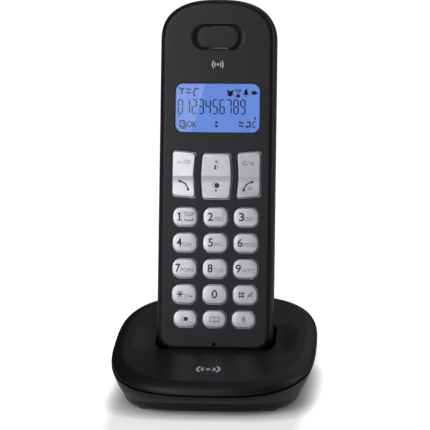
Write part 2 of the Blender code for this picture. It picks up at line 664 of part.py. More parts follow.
def make_bottom_shell():
    rings = [foot_ring(4 * MM, UNDERSIDE + SHELL), foot_ring(SHELL, UNDERSIDE + SHELL + 1.5 * MM),
             base_ring(SHELL, seam(-GAP)), base_ring(0, seam(-GAP)),
             base_ring(0.4 * MM, seam(-1.6 * MM)), foot_ring(-0.6 * MM, UNDERSIDE + 3 * MM),
             foot_ring(0.3 * MM, UNDERSIDE + 1 * MM), foot_ring(1.4 * MM, UNDERSIDE)]
    shell = add("base_bottom_shell", lofted("base_bottom_shell", rings), "base_plastic")
    top = BOSS_BOTTOM - GAP
    middle = (top + UNDERSIDE) / 2 + 0.5 * MM
    posts = rods("shell_posts", [((x, y, middle), 3.6 * MM, 2 * (top - middle))
                                 for x, y in BASE_SCREWS], "Z")
    boolean(shell, add("shell_posts", posts), "UNION")
    low, high = 0.8 * MM, BASE_BOARD_Z - 0.1 * MM
    studs = rods("board_studs", [((x, y, (low + high) / 2), 2 * MM, high - low)
                                 for x, y in BOARD_STUDS], "Z", 12)
    boolean(shell, add("board_studs", studs), "UNION")
    bm = bmesh.new()
    for x, y in BASE_SCREWS:
        rod(bm, (x, y, UNDERSIDE), 2.7 * MM, 4.8 * MM, "Z", 20)
    for x, y in FEET:
        rod(bm, (x, y, UNDERSIDE), 4.3 * MM, 2.4 * MM, "Z", 24)
    boolean(shell, add("underside_recesses", to_mesh("underside_recesses", bm)))
    shanks = rods("post_bores", [((x, y, BOSS_BOTTOM), 1.5 * MM, 2 * CUT) for x, y in BASE_SCREWS],
                  "Z", 12)
    boolean(shell, add("post_bores", shanks))
    bm = bmesh.new()
    for _, low, high in jack_boxes():
        past_wall = (high[0], high[1] + 6 * MM, high[2])
        box(bm, [c - GAP for c in low], [c + GAP for c in past_wall])
    rod(bm, (0, JACK_Y, PAGE_BUTTON_Z), 4.3 * MM, CUT, "Y", 24)
    boolean(shell, add("rear_windows", to_mesh("rear_windows", bm)))


def jack_boxes():
    """The two sockets' outer blocks: name, low corner, high corner."""
    bottom = BASE_BOARD_Z + 1.2 * MM + GAP
    yield ("line_jack", (LINE_JACK_X - 6.5 * MM, JACK_Y - 13 * MM, bottom),
           (LINE_JACK_X + 6.5 * MM, JACK_Y, bottom + 9 * MM))
    yield ("power_jack", (POWER_JACK_X - 4.5 * MM, JACK_Y - 13 * MM, bottom),
           (POWER_JACK_X + 4.5 * MM, JACK_Y, bottom + 10 * MM))


def make_jacks():
    """A square socket for the line and a round one with a pin for the power supply."""
    for name, low, high in jack_boxes():
        jack = add(name, boxes(name, [(low, high)]), "base_plastic")
        x, y, z = (low[0] + high[0]) / 2, high[1], (low[2] + high[2]) / 2
        if name == "line_jack":
            half_width, half_height = 4.9 * MM, 3.4 * MM
            mouth = boxes("line_mouth", [((x - half_width, y - 10 * MM, z - half_height),
                                          (x + half_width, y + 5 * MM, z + half_height))])
            boolean(jack, add("line_mouth", mouth))
        else:
            mouth = add("power_mouth", rods("power_mouth", [((x, y, z), 3.1 * MM, 18 * MM)]))
            pin = rods("power_pin", [((x, y - 6 * MM, z), 1 * MM, 10 * MM)], segments=12)
            boolean(mouth, add("power_pin", pin))
            boolean(jack, mouth)


def make_base_board():
    low, high = -14 * MM, JACK_Y - 6 * MM
    board = prism("base_board", rounded(41 * MM, high - low, 1 * MM, 0, (low + high) / 2, 2),
                  BASE_BOARD_Z, [(0, 1.2 * MM)], "Z")
    add("base_board", board, "circuit_board")


def make_page_button():
    """A round button in the rear wall, with a collar behind the wall."""
    collar_depth, collar_height, rim = 4.4 * MM, 1.6 * MM, 0.4 * MM
    stem = PAGE_BUTTON_FACE - JACK_Y + collar_depth - collar_height - rim
    steps = [(0, collar_height), (1.2 * MM, stem), (0.5 * MM, 0), (0, rim)]
    mesh = prism("page_button", circle(5.2 * MM, steps=28), -collar_depth, steps)
    add("page_button", mesh, "silver_key", None, (0, JACK_Y, PAGE_BUTTON_Z))


def arch(radius, foot, crown, steps=8):
    """Up one leg, over a half circle and down the other: across, then height."""
    angles = [math.pi * k / steps for k in range(steps + 1)]
    over = [(-radius * math.cos(a), crown + radius * math.sin(a)) for a in angles]
    return [(-radius, foot)] + over + [(radius, foot)]


def make_contact_springs(frame):
    """Arched strips that stand on the base's board and press on the charge plates."""
    foot, crown = BOTTOM - SPRING_HEIGHT, BOTTOM - SPRING_RADIUS
    inside = arch(SPRING_RADIUS - SPRING_STRIP, foot, crown)
    outline = arch(SPRING_RADIUS, foot, crown) + inside[::-1]
    for name, x in (("contact_spring_left", -CONTACT_X), ("contact_spring_right", CONTACT_X)):
        mesh = prism(name, outline, -1.5 * MM, [(0, 3 * MM)], "X")
        add(name, mesh, "nickel", frame, (x, CONTACT_DEPTH, 0))


def make_feet_and_screws():
    corners = ("front_left", "front_right", "rear_left", "rear_right")
    steps = [(0, 1.2 * MM), (0.3 * MM, 0), (0, 0.3 * MM)]
    for corner, (x, y) in zip(corners, FEET):
        name = f"foot_{corner}"
        add(name, prism(name, circle(4 * MM, x, y, 24), 0, steps, "Z"), "rubber")
    head_z, head_height = UNDERSIDE + 0.7 * MM, 1.4 * MM
    shank_length = BOSS_BOTTOM + 5 * MM - head_z - head_height
    steps = [(0, head_height), (1.2 * MM, shank_length)]
    for corner, (x, y) in zip(corners, BASE_SCREWS):
        name = f"base_screw_{corner}"
        add(name, prism(name, circle(2.3 * MM, x, y, 20), head_z, steps, "Z"), "screw_steel")


# ---------------------------------------------------------------- main

def main():
    clear_scene()
    frame = bpy.data.objects.new("handset_frame", None)
    frame.location = (0, FACE_Y, FACE_Z)
    frame.rotation_euler = (-LEAN, 0, 0)
    collection(PARTS).objects.link(frame)
    make_front_cover(frame)
    make_rear_cover(frame)
    make_battery_door(frame)
    make_display(frame)
    make_sound(frame)
    make_boards(frame)
    make_keys(frame)
    make_rockers(frame)
    make_cells(frame)
    make_handset_fittings(frame)
    make_top_cover(frame)
    make_bottom_shell()
    make_jacks()
    make_base_board()
    make_page_button()
    make_contact_springs(frame)
    make_feet_and_screws()


main()
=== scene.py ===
"""Cordless telephone: a handset standing in its charging base, finished for the studio."""

import json
import math

import bmesh
import bpy
from mathutils import Matrix, Vector


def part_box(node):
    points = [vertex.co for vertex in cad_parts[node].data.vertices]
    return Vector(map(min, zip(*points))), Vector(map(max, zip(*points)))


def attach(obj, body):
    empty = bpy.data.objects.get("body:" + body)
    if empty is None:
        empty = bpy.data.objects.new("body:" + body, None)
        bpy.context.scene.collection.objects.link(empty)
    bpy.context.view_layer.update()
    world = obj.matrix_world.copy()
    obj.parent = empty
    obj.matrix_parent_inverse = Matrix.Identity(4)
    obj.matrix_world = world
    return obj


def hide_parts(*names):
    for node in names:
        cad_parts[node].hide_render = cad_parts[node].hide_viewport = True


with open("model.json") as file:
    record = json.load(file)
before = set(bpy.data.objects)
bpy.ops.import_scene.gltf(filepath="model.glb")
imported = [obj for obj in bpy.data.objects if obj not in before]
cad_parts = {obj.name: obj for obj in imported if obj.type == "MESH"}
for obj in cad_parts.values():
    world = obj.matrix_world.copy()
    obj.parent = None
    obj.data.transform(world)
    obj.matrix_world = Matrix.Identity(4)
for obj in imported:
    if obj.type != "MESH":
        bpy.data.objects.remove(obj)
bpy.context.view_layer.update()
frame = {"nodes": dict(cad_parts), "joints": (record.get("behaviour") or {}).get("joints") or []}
NODES = frame["nodes"]
JOINTS = {joint["name"]: joint for joint in frame["joints"]}

MM = 0.001
GAP = 0.3 * MM                       # air left between pieces that touch
THROUGH = 20 * MM                    # how far a cutter runs past the wall it opens

# Handset, in its own upright coordinates: x to the right, y inwards, z along it
HALF_WIDTH = 24 * MM
TOP = 132.9 * MM
BOTTOM = -13.5 * MM
PARTING = 12.3 * MM
THICKNESS = 24.5 * MM
WALL = 1.8 * MM
CROWN = 17.5 * MM
CROWN_POWER = 2.5
CHIN_RADIUS = 7.5 * MM
EDGE_INSET = 2.7 * MM                # the face's rounded edge: how far in it starts
EDGE_DEPTH = 4.4 * MM                # and how far back it ends

# Keys
KEY_HEIGHT = 0.9 * MM
KEY_CLEARANCE = 0.35 * MM
KEY_FLANGE = 0.8 * MM
KEY_EDGE = 0.45 * MM
KEY_CORNER = 3.0 * MM
LAST_KEY_CORNER = 2.9 * MM
KEY_CROWN = 0.14 * MM                # how far a small key's top swells at its middle
LEGEND_RISE = 0.12 * MM              # how far up the swell its legend lies
FLANGE_TOP = WALL + GAP
ROCKER_AXIS_DEPTH = 2.6 * MM

# Print on the keys and covers
PRINT = 0.04 * MM                    # how far ink stands off the surface under it
INK = 0.16 * MM                      # how deep an ink piece is, most of it sunk

# Battery bay
BAY_HALF_WIDTH = 12.3 * MM
BAY_HALF_LENGTH = 25.7 * MM
BAY_FLOOR = 11.2 * MM
BAY_WALL = 0.9 * MM
SCREW_PILLAR = 3.6 * MM

# Base
BASE_HALF_WIDTH = 42 * MM
BASE_HALF_DEPTH = 55.8 * MM
BASE_POWER = 2.9
SEAM_Z = 8.3 * MM
SEAM_SLOPE = 0.172
CREST_INSET = 4.6 * MM
CREST_Z = 13.6 * MM
CREST_SLOPE = 0.157
FOOT_HALF_WIDTH = 35.9 * MM
FOOT_HALF_DEPTH = 48.5 * MM
FOOT_POWER = 3.7
FOOT_Y = -0.8 * MM
UNDERSIDE = 0.6 * MM
SHELL = 2 * MM
WELL_GAP = 1.0 * MM
WELL_FLOOR = BOTTOM - GAP
BOSS_BOTTOM = 8.5 * MM
BOSS = 3.4 * MM
CLEAR_ABOVE = 60 * MM                # how far up a cutter runs to clear the base
FEET = ["foot_front_left", "foot_front_right", "foot_rear_left", "foot_rear_right"]


# ---------------------------------------------------------------- working in Blender

def only(piece):
    """Makes one object the active one and the only one selected."""
    bpy.ops.object.select_all(action="DESELECT")
    piece.hide_set(False)
    piece.select_set(True)
    bpy.context.view_layer.objects.active = piece
    return piece


def named(piece, name):
    """Names an object and its mesh."""
    piece.name = name
    piece.data.name = name
    return piece


def applied(piece, kind, **settings):
    """Adds one modifier to a piece and applies it."""
    only(piece)
    step = piece.modifiers.new(kind.title(), kind)
    for key, value in settings.items():
        setattr(step, key, value)
    bpy.ops.object.modifier_apply(modifier=step.name)
    return piece


def cut(piece, tool, operation="DIFFERENCE"):
    """Takes a tool away from a piece, or adds it with a union, and throws the tool away."""
    applied(piece, "BOOLEAN", object=tool, operation=operation, solver="EXACT")
    bpy.data.objects.remove(tool)
    return piece


def joined(name, pieces):
    """Several meshes made one object."""
    only(pieces[0])
    for piece in pieces:
        piece.select_set(True)
    if len(pieces) > 1:
        bpy.ops.object.join()
    return named(bpy.context.object, name)


def smooth(piece, degrees=32, weighted=True):
    """Shades a piece smooth, and keeps the edges that turn by more than the angle."""
    only(piece)
    bpy.ops.object.shade_smooth_by_angle(angle=math.radians(degrees))
    if weighted:
        applied(piece, "WEIGHTED_NORMAL", keep_sharp=True)
    return piece


def eased(piece, width, degrees=40, segments=2):
    """Breaks the piece's sharp edges with a small round."""
    return applied(piece, "BEVEL", width=width, segments=segments, limit_method="ANGLE",
                   angle_limit=math.radians(degrees), harden_normals=False)


def put(piece, body, slot, finish, *replaced):
    """Gives a finished piece its material and its body, and hides the nodes it stands for."""
    piece.data.materials.append(finish)
    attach(piece, body)
    if replaced:
        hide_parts(*replaced)


def middle_of(corners):
    """The centre between two corners."""
    return [(a + b) / 2 for a, b in zip(*corners)]


# ---------------------------------------------------------------- outlines

def signed_power(value, power):
    return math.copysign(abs(value) ** power, value)


def rounded(width, height, radius, x=0.0, z=0.0, steps=8):
    """A rectangle with round corners, anticlockwise."""
    points = []
    for quarter, (side, end) in enumerate(((1, 1), (-1, 1), (-1, -1), (1, -1))):
        for k in range(steps + 1):
            angle = math.pi / 2 * (quarter + k / steps)
            points.append((x + side * (width / 2 - radius) + radius * math.cos(angle),
                           z + end * (height / 2 - radius) + radius * math.sin(angle)))
    return points


def softened(corners, steps=8):
    """A polygon whose corners (x, z, cut) are rounded off, starting the cut before each."""
    points = []
    for i, (x, z, reach) in enumerate(corners):
        ends = []
        for other in (corners[i - 1], corners[(i + 1) % len(corners)]):
            share = reach / math.dist((x, z), other[:2])
            ends.append((x + (other[0] - x) * share, z + (other[1] - z) * share))
        for k in range(steps + 1):
            t = k / steps
            weights = ((1 - t) ** 2, 2 * t * (1 - t), t ** 2)
            points.append(tuple(weights[0] * a + weights[1] * c + weights[2] * b
                                for a, c, b in zip(ends[0], (x, z), ends[1])))
    return points


def circle(radius, x=0.0, z=0.0, steps=32):
    """A full round, anticlockwise."""
    turns = [2 * math.pi * k / steps for k in range(steps)]
    return [(x + radius * math.cos(turn), z + radius * math.sin(turn)) for turn in turns]


def ribbon(points, width):
    """The outline of a line of even width through points."""
    left, right = [], []
    for i, (x, z) in enumerate(points):
        ahead = points[min(i + 1, len(points) - 1)]
        behind = points[max(i - 1, 0)]
        run = Vector((ahead[0] - behind[0], ahead[1] - behind[1])).normalized() * width / 2
        left.append((x - run.y, z + run.x))
        right.append((x + run.y, z - run.x))
    return left + right[::-1]


def arc(radius, x, z, start, end, steps=20):
    """Part of a round, between two angles in degrees."""
    turns = [math.radians(start + (end - start) * k / steps) for k in range(steps + 1)]
    return [(x + radius * math.cos(turn), z + radius * math.sin(turn)) for turn in turns]


def casing_outline(inset):
    """The handset seen from the front: straight sides, a rounded top and round chin corners."""
    half = HALF_WIDTH - inset
    crown = CROWN - inset * 0.6
    shoulder = TOP - inset - crown
    points = []
    for k in range(65):
        angle = math.pi * k / 64
        points.append((half * signed_power(math.cos(angle), 2 / CROWN_POWER),
                       shoulder + crown * signed_power(math.sin(angle), 2 / CROWN_POWER)))
    radius = max(CHIN_RADIUS - inset, 1.5 * MM)
    for side in (-1, 1):
        for k in range(13):
            angle = math.pi / 2 * (k / 12 if side < 0 else 1 - k / 12)
            points.append((side * (half - radius + radius * math.cos(angle)),
                           BOTTOM + inset + radius - radius * math.sin(angle)))
    return points


def casing_ring(depth, inset):
    """The casing's outline, drawn in by the inset, at a depth."""
    return [(x, depth, z) for x, z in casing_outline(inset)]


def oval(half_width, half_depth, power, height, y=0.0, steps=112):
    """A superellipse in plan; height gives z from a point's y."""
    ring = []
    for k in range(steps):
        angle = 2 * math.pi * k / steps
        px = half_width * signed_power(math.cos(angle), 2 / power)
        py = y + half_depth * signed_power(math.sin(angle), 2 / power)
        ring.append((px, py, height(py)))
    return ring


def base_ring(inset, height):
    """The base's outline at its seam, drawn in by the inset."""
    return oval(BASE_HALF_WIDTH - inset, BASE_HALF_DEPTH - inset, BASE_POWER, height)


def foot_ring(inset, z):
    """The base's smaller outline where it meets the table, drawn in by the inset."""
    return oval(FOOT_HALF_WIDTH - inset, FOOT_HALF_DEPTH - inset, FOOT_POWER, lambda y: z, FOOT_Y)


def seam(offset):
    """The tilted plane between the base's two shells, as a height for each y."""
    return lambda y: SEAM_Z + SEAM_SLOPE * (y + BASE_HALF_DEPTH) + offset


def crest(offset):
    """The tilted plane of the base's top, as a height for each y."""
    return lambda y: CREST_Z + CREST_SLOPE * (y + BASE_HALF_DEPTH - CREST_INSET) + offset


def band(share):
    """A height that share of the way from the seam up to the crest."""
    return lambda y: (1 - share) * seam(0)(y) + share * crest(0)(y)


def eased_path(points, steps=4):
    """A smooth run through points (Catmull-Rom)."""
    run = []
    last = len(points) - 1
    for i in range(last):
        p = [points[max(i - 1, 0)], points[i], points[i + 1], points[min(i + 2, last)]]
        for k in range(steps):
            t = k / steps
            weights = (-t + 2 * t ** 2 - t ** 3, 2 - 5 * t ** 2 + 3 * t ** 3,
                       t + 4 * t ** 2 - 3 * t ** 3, t ** 3 - t ** 2)
            run.append(tuple(sum(w * q[axis] for w, q in zip(weights, p)) / 2
                             for axis in range(len(points[0]))))
    return run + [tuple(points[-1])]


# ---------------------------------------------------------------- shaping

def drawn(name, points, fill):
    """A circle whose points are moved onto an outline in space."""
    bpy.ops.object.select_all(action="DESELECT")
    bpy.ops.mesh.primitive_circle_add(vertices=len(points), radius=MM, fill_type=fill)
    piece = named(bpy.context.object, name)
    for vertex, point in zip(piece.data.vertices, points):
        vertex.co = point
    return piece


def edit(piece):
    """Into edit mode with everything selected."""
    only(piece)
    bpy.ops.object.mode_set(mode="EDIT")
    bpy.ops.mesh.select_mode(type="VERT")
    bpy.ops.mesh.select_all(action="SELECT")


def done(piece):
    """Faces turned outwards, and back to object mode."""
    bpy.ops.mesh.select_all(action="SELECT")
    bpy.ops.mesh.normals_make_consistent(inside=False)
    bpy.ops.object.mode_set(mode="OBJECT")
    return piece


def skin(name, rings):
    """A closed skin: the first ring extruded on to each next one, and both ends filled."""
    piece = drawn(name, rings[0], "NGON")
    edit(piece)
    loop = list(range(len(rings[0])))
    loops = [loop]
    for _ in rings[1:]:
        bpy.ops.mesh.select_all(action="DESELECT")
        mesh = bmesh.from_edit_mesh(piece.data)
        mesh.verts.ensure_lookup_table()
        for i in loop:
            mesh.verts[i].select = True
        mesh.select_flush(True)
        if len(loops) == 1:
            for face in mesh.faces:
                face.select = False
            for edge in mesh.edges:
                edge.select = True
        bpy.ops.mesh.extrude_edges_move(TRANSFORM_OT_translate={"value": (0, 0, 0)})
        mesh = bmesh.from_edit_mesh(piece.data)
        mesh.verts.ensure_lookup_table()
        mesh.verts.index_update()
        loop = [next(edge.other_vert(mesh.verts[i]).index for edge in mesh.verts[i].link_edges
                     if edge.other_vert(mesh.verts[i]).select) for i in loop]
        loops.append(loop)
    bpy.ops.mesh.edge_face_add()
    bpy.ops.object.mode_set(mode="OBJECT")
    for loop, ring in zip(loops, rings):
        for i, point in zip(loop, ring):
            piece.data.vertices[i].co = point
    edit(piece)
    return done(piece)


def slab(name, outline, start, end, axis="Y"):
    """An outline filled at start and extruded to end along an axis."""
    across = {"Y": lambda u, w: (u, start, w), "Z": lambda u, w: (u, w, start),
              "X": lambda u, w: (start, u, w)}[axis]
    run = {"X": (end - start, 0, 0), "Y": (0, end - start, 0), "Z": (0, 0, end - start)}[axis]
    piece = drawn(name, [across(*point) for point in outline], "NGON")
    edit(piece)
    bpy.ops.mesh.extrude_region_move(TRANSFORM_OT_translate={"value": run})
    return done(piece)


def stepped(name, outline, stations, axis="Y"):
    """A skin through copies of an outline: outline(grow) at each (grow, place) station."""
    across = {"Y": lambda u, w, at: (u, at, w), "Z": lambda u, w, at: (u, w, at),
              "X": lambda u, w, at: (at, u, w)}[axis]
    return skin(name, [[across(u, w, place) for u, w in outline(grow)] for grow, place in stations])


def opening(name, outline, back, rim=0.22 * MM, face=0.0):
    """A cutter for a hole in the face, whose mouth is rounded where it meets the face."""
    stations = [(0, back), (0, face + rim)]
    stations += [(rim * (1 - math.cos(math.radians(a))), face + rim * (1 - math.sin(math.radians(a))))
                 for a in (30, 60)]
    stations += [(rim, face), (rim, face - 3 * MM)]
    return stepped(name, outline, stations)


def rod(name, centre, radius, length, axis="Y", segments=32):
    """A cylinder about its centre, along an axis."""
    turn = {"X": (0, math.pi / 2, 0), "Y": (math.pi / 2, 0, 0), "Z": (0, 0, 0)}[axis]
    bpy.ops.object.select_all(action="DESELECT")
    bpy.ops.mesh.primitive_cylinder_add(vertices=segments, radius=radius, depth=length,
                                        location=centre, rotation=turn)
    bpy.ops.object.transform_apply(location=True, rotation=True, scale=True)
    return named(bpy.context.object, name)


def block(name, low, high):
    """A box between two corners."""
    bpy.ops.object.select_all(action="DESELECT")
    middle = [(a + b) / 2 for a, b in zip(low, high)]
    bpy.ops.mesh.primitive_cube_add(size=1, location=middle)
    bpy.context.object.scale = [b - a for a, b in zip(low, high)]
    bpy.ops.object.transform_apply(location=True, rotation=True, scale=True)
    return named(bpy.context.object, name)


def find_handset():
    """The matrix from the handset's upright coordinates to the frame."""
    lift = JOINTS["handset_lift"]["axis"]
    lean = Matrix.Rotation(-math.atan2(lift[1], lift[2]), 4, "X")
    upright = lean.inverted()
    points = [upright @ vertex.co for vertex in NODES["handset_front_cover"].data.vertices]
    face = min(point.y for point in points)
    foot = min(point.z for point in points)
    return lean @ Matrix.Translation((0, face, foot - BOTTOM))


HANDSET = find_handset()
UPRIGHT = HANDSET.inverted()


def upright_box(node):
    """A node's corners in the handset's upright coordinates."""
    points = [UPRIGHT @ vertex.co for vertex in NODES[node].data.vertices]
    return (Vector([min(point[k] for point in points) for k in range(3)]),
            Vector([max(point[k] for point in points) for k in range(3)]))


def lean_back(piece):
    """Sets a piece modelled upright at the handset's lean."""
    piece.data.transform(HANDSET)
    return piece


# ---------------------------------------------------------------- material nodes

def new_material(name, colour, roughness, metallic=0.0):
    """A material with its plain values set, ready for its patterns."""
    made = bpy.data.materials.new(name)
    made.use_nodes = True
    shader = made.node_tree.nodes["Principled BSDF"]
    shader.inputs["Base Color"].default_value = (*colour, 1)
    shader.inputs["Roughness"].default_value = roughness
    shader.inputs["Metallic"].default_value = metallic
    made.diffuse_color = (*colour, 1)
    return made


def node(tree, kind, **settings):
    """One shader node, its sockets or properties set by name."""
    made = tree.nodes.new("ShaderNode" + kind)
    for key, value in settings.items():
        if key in made.inputs:
            made.inputs[key].default_value = value
        else:
            setattr(made, key, value)
    return made


def place_of(tree, scale=(1, 1, 1)):
    """Object coordinates, stretched where a pattern has a direction."""
    coordinates = node(tree, "TexCoord")
    mapping = node(tree, "Mapping", Scale=scale)
    tree.links.new(coordinates.outputs["Object"], mapping.inputs["Vector"])
    return mapping.outputs["Vector"]


def noise(tree, scale, detail=3.0, stretch=(1, 1, 1)):
    """A cloudy pattern; scale counts its patches in a metre."""
    made = node(tree, "TexNoise", Scale=scale, Detail=detail, Roughness=0.55)
    tree.links.new(place_of(tree, stretch), made.inputs["Vector"])
    return made.outputs["Fac"]


def ranged(tree, source, low, high, start=0.25, end=0.75):
    """Maps a value that runs from start to end on to low to high."""
    made = node(tree, "MapRange")
    for name, value in (("From Min", start), ("From Max", end), ("To Min", low), ("To Max", high)):
        made.inputs[name].default_value = value
    tree.links.new(source, made.inputs["Value"])
    return made.outputs["Result"]


def blended(tree, share, first, second):
    """A colour between two, by share."""
    made = node(tree, "Mix", data_type="RGBA")
    made.inputs["A"].default_value = (*first, 1)
    made.inputs["B"].default_value = (*second, 1)
    tree.links.new(share, made.inputs["Factor"])
    return made.outputs["Result"]


def bumped(tree, height, strength, distance, under=None):
    """Fine relief from a pattern, on top of the relief under it."""
    made = node(tree, "Bump", Strength=strength, Distance=distance)
    tree.links.new(height, made.inputs["Height"])
    if under:
        tree.links.new(under, made.inputs["Normal"])
    return made.outputs["Normal"]


def wire(made, socket, source):
    """Feeds a material's main shader."""
    made.node_tree.links.new(source, made.node_tree.nodes["Principled BSDF"].inputs[socket])


# ---------------------------------------------------------------- materials

def satin_plastic():
    """Fine-grained black plastic of the handset."""
    made = new_material("satin black plastic", (0.006, 0.006, 0.0085), 0.40)
    tree = made.node_tree
    tree.nodes["Principled BSDF"].inputs["Specular IOR Level"].default_value = 0.36
    grain = noise(tree, 5200, 2)
    handling = noise(tree, 90, 4)
    wire(made, "Base Color", blended(tree, ranged(tree, handling, 0, 1), (0.0050, 0.0050, 0.0074),
                                     (0.0072, 0.0070, 0.0100)))
    wire(made, "Roughness", ranged(tree, noise(tree, 160, 5), 0.36, 0.46))
    wire(made, "Normal", bumped(tree, grain, 0.16, 0.02 * MM))
    return made


def polished_plastic():
    """Smoother blue-black plastic of the base."""
    made = new_material("semi-gloss black plastic", (0.0030, 0.0036, 0.0058), 0.42)
    tree = made.node_tree
    tree.nodes["Principled BSDF"].inputs["Specular IOR Level"].default_value = 0.34
    wire(made, "Base Color", blended(tree, ranged(tree, noise(tree, 70, 4), 0, 1),
                                     (0.0024, 0.0030, 0.0050), (0.0038, 0.0044, 0.0068)))
    wire(made, "Roughness", ranged(tree, noise(tree, 130, 5), 0.39, 0.46))
    under = bumped(tree, noise(tree, 26, 2), 0.04, 0.04 * MM)
    wire(made, "Normal", bumped(tree, noise(tree, 4300, 2), 0.10, 0.012 * MM, under))
    return made


def silver_paint():
    """Silver lacquer with fine flakes on the keys."""
    made = new_material("silver lacquer", (0.62, 0.62, 0.65), 0.34, 0.7)
    tree = made.node_tree
    flakes = node(tree, "TexVoronoi", Scale=5200.0)
    tree.links.new(place_of(tree), flakes.inputs["Vector"])
    wire(made, "Base Color", blended(tree, flakes.outputs["Color"], (0.50, 0.50, 0.53),
                                     (0.70, 0.70, 0.73)))
    wire(made, "Roughness", ranged(tree, noise(tree, 300, 4), 0.30, 0.38))
    wire(made, "Normal", bumped(tree, flakes.outputs["Distance"], 0.10, 0.02 * MM))
    return made


def ink(name, colour, roughness=0.5):
    """Printed ink, a little uneven."""
    made = new_material(name, colour, roughness)
    tree = made.node_tree
    lighter = tuple(min(1, 1.18 * c + 0.004) for c in colour)
    wire(made, "Base Color", blended(tree, ranged(tree, noise(tree, 2600, 3), 0, 1), colour, lighter))
    wire(made, "Roughness", ranged(tree, noise(tree, 3400, 2), roughness - 0.08, roughness + 0.08))
    wire(made, "Normal", bumped(tree, noise(tree, 6500, 2), 0.10, 0.01 * MM))
    return made


def clear_window():
    """Clear acrylic with faint handling marks."""
    made = new_material("clear acrylic", (1, 1, 1), 0.03)
    shader = made.node_tree.nodes["Principled BSDF"]
    shader.inputs["Transmission Weight"].default_value = 1.0
    shader.inputs["IOR"].default_value = 1.34
    tree = made.node_tree
    wire(made, "Roughness", ranged(tree, noise(tree, 240, 5), 0.004, 0.018))
    return made


def backlit_panel():
    """The display's blue backlight, a little uneven from its lamps."""
    made = new_material("blue backlight", (0.01, 0.02, 0.06), 0.5)
    tree = made.node_tree
    shader = tree.nodes["Principled BSDF"]
    shader.inputs["Emission Strength"].default_value = 1.0
    shader.inputs["Specular IOR Level"].default_value = 0.1
    wire(made, "Emission Color", blended(tree, ranged(tree, noise(tree, 60, 2), 0, 1),
                                         (0.125, 0.235, 0.66), (0.15, 0.275, 0.74)))
    wire(made, "Roughness", ranged(tree, noise(tree, 900, 2), 0.45, 0.6))
    return made


def crystal_ink():
    """The darkened liquid crystal: backlight that barely passes."""
    made = new_material("dark segment", (0.004, 0.005, 0.01), 0.5)
    tree = made.node_tree
    shader = tree.nodes["Principled BSDF"]
    shader.inputs["Emission Strength"].default_value = 1.0
    shader.inputs["Specular IOR Level"].default_value = 0.1
    glow = (0.004, 0.007, 0.018)
    darker = tuple(0.8 * c for c in glow)
    wire(made, "Emission Color", blended(tree, ranged(tree, noise(tree, 1500, 2), 0, 1), darker, glow))
    wire(made, "Roughness", ranged(tree, noise(tree, 1200, 2), 0.45, 0.6))
    return made


def soft_rubber():
    """Matt black rubber of the feet and the keypad mat."""
    made = new_material("moulded rubber", (0.018, 0.018, 0.019), 0.8)
    tree = made.node_tree
    wire(made, "Base Color", blended(tree, ranged(tree, noise(tree, 400, 4), 0, 1),
                                     (0.012, 0.012, 0.013), (0.035, 0.034, 0.033)))
    wire(made, "Roughness", ranged(tree, noise(tree, 700, 4), 0.7, 0.9))
    wire(made, "Normal", bumped(tree, noise(tree, 5200, 4), 0.3, 0.04 * MM))
    return made


def brushed_metal(name, colour, roughness, stretch):
    """Metal with fine streaks along the axis that stretch makes short."""
    made = new_material(name, colour, roughness, 1.0)
    tree = made.node_tree
    streaks = noise(tree, 1800, 4, stretch)
    dull = tuple(0.8 * c for c in colour)
    wire(made, "Base Color", blended(tree, ranged(tree, noise(tree, 500, 4), 0, 1), dull, colour))
    wire(made, "Roughness", ranged(tree, streaks, roughness - 0.08, roughness + 0.12))
    wire(made, "Normal", bumped(tree, streaks, 0.15, 0.02 * MM))
    return made


def circuit_laminate():
    """Green solder mask over copper tracks."""
    made = new_material("circuit board", (0.02, 0.12, 0.05), 0.4)
    tree = made.node_tree
    tracks = node(tree, "TexBrick", Scale=160.0)
    tracks.inputs["Color1"].default_value = (0.016, 0.11, 0.045, 1)
    tracks.inputs["Color2"].default_value = (0.022, 0.15, 0.06, 1)
    tracks.inputs["Mortar"].default_value = (0.05, 0.22, 0.09, 1)
    tracks.inputs["Mortar Size"].default_value = 0.04
    tree.links.new(place_of(tree), tracks.inputs["Vector"])
    wire(made, "Base Color", tracks.outputs["Color"])
    wire(made, "Roughness", ranged(tree, noise(tree, 600, 4), 0.3, 0.5))
    wire(made, "Normal", bumped(tree, tracks.outputs["Fac"], 0.3, 0.03 * MM))
    return made


def cell_film():
    """Shrink film on the rechargeable cells."""
    made = new_material("green cell film", (0.03, 0.24, 0.08), 0.35)
    tree = made.node_tree
    wire(made, "Base Color", blended(tree, ranged(tree, noise(tree, 140, 4, (1, 1, 0.3)), 0, 1),
                                     (0.022, 0.20, 0.065), (0.035, 0.27, 0.09)))
    wire(made, "Roughness", ranged(tree, noise(tree, 500, 4), 0.28, 0.42))
    wire(made, "Normal", bumped(tree, noise(tree, 900, 3, (1, 1, 0.2)), 0.2, 0.04 * MM))
    return made


def sintered_mesh():
    """The speakers' pressed metal, with a fine weave."""
    made = new_material("speaker metal", (0.35, 0.35, 0.36), 0.4, 0.9)
    tree = made.node_tree
    weave = node(tree, "TexVoronoi", Scale=2200.0)
    tree.links.new(place_of(tree), weave.inputs["Vector"])
    wire(made, "Base Color", blended(tree, weave.outputs["Distance"], (0.10, 0.10, 0.11),
                                     (0.42, 0.42, 0.43)))
    wire(made, "Roughness", ranged(tree, noise(tree, 800, 3), 0.35, 0.55))
    wire(made, "Normal", bumped(tree, weave.outputs["Distance"], 0.4, 0.05 * MM))
    return made


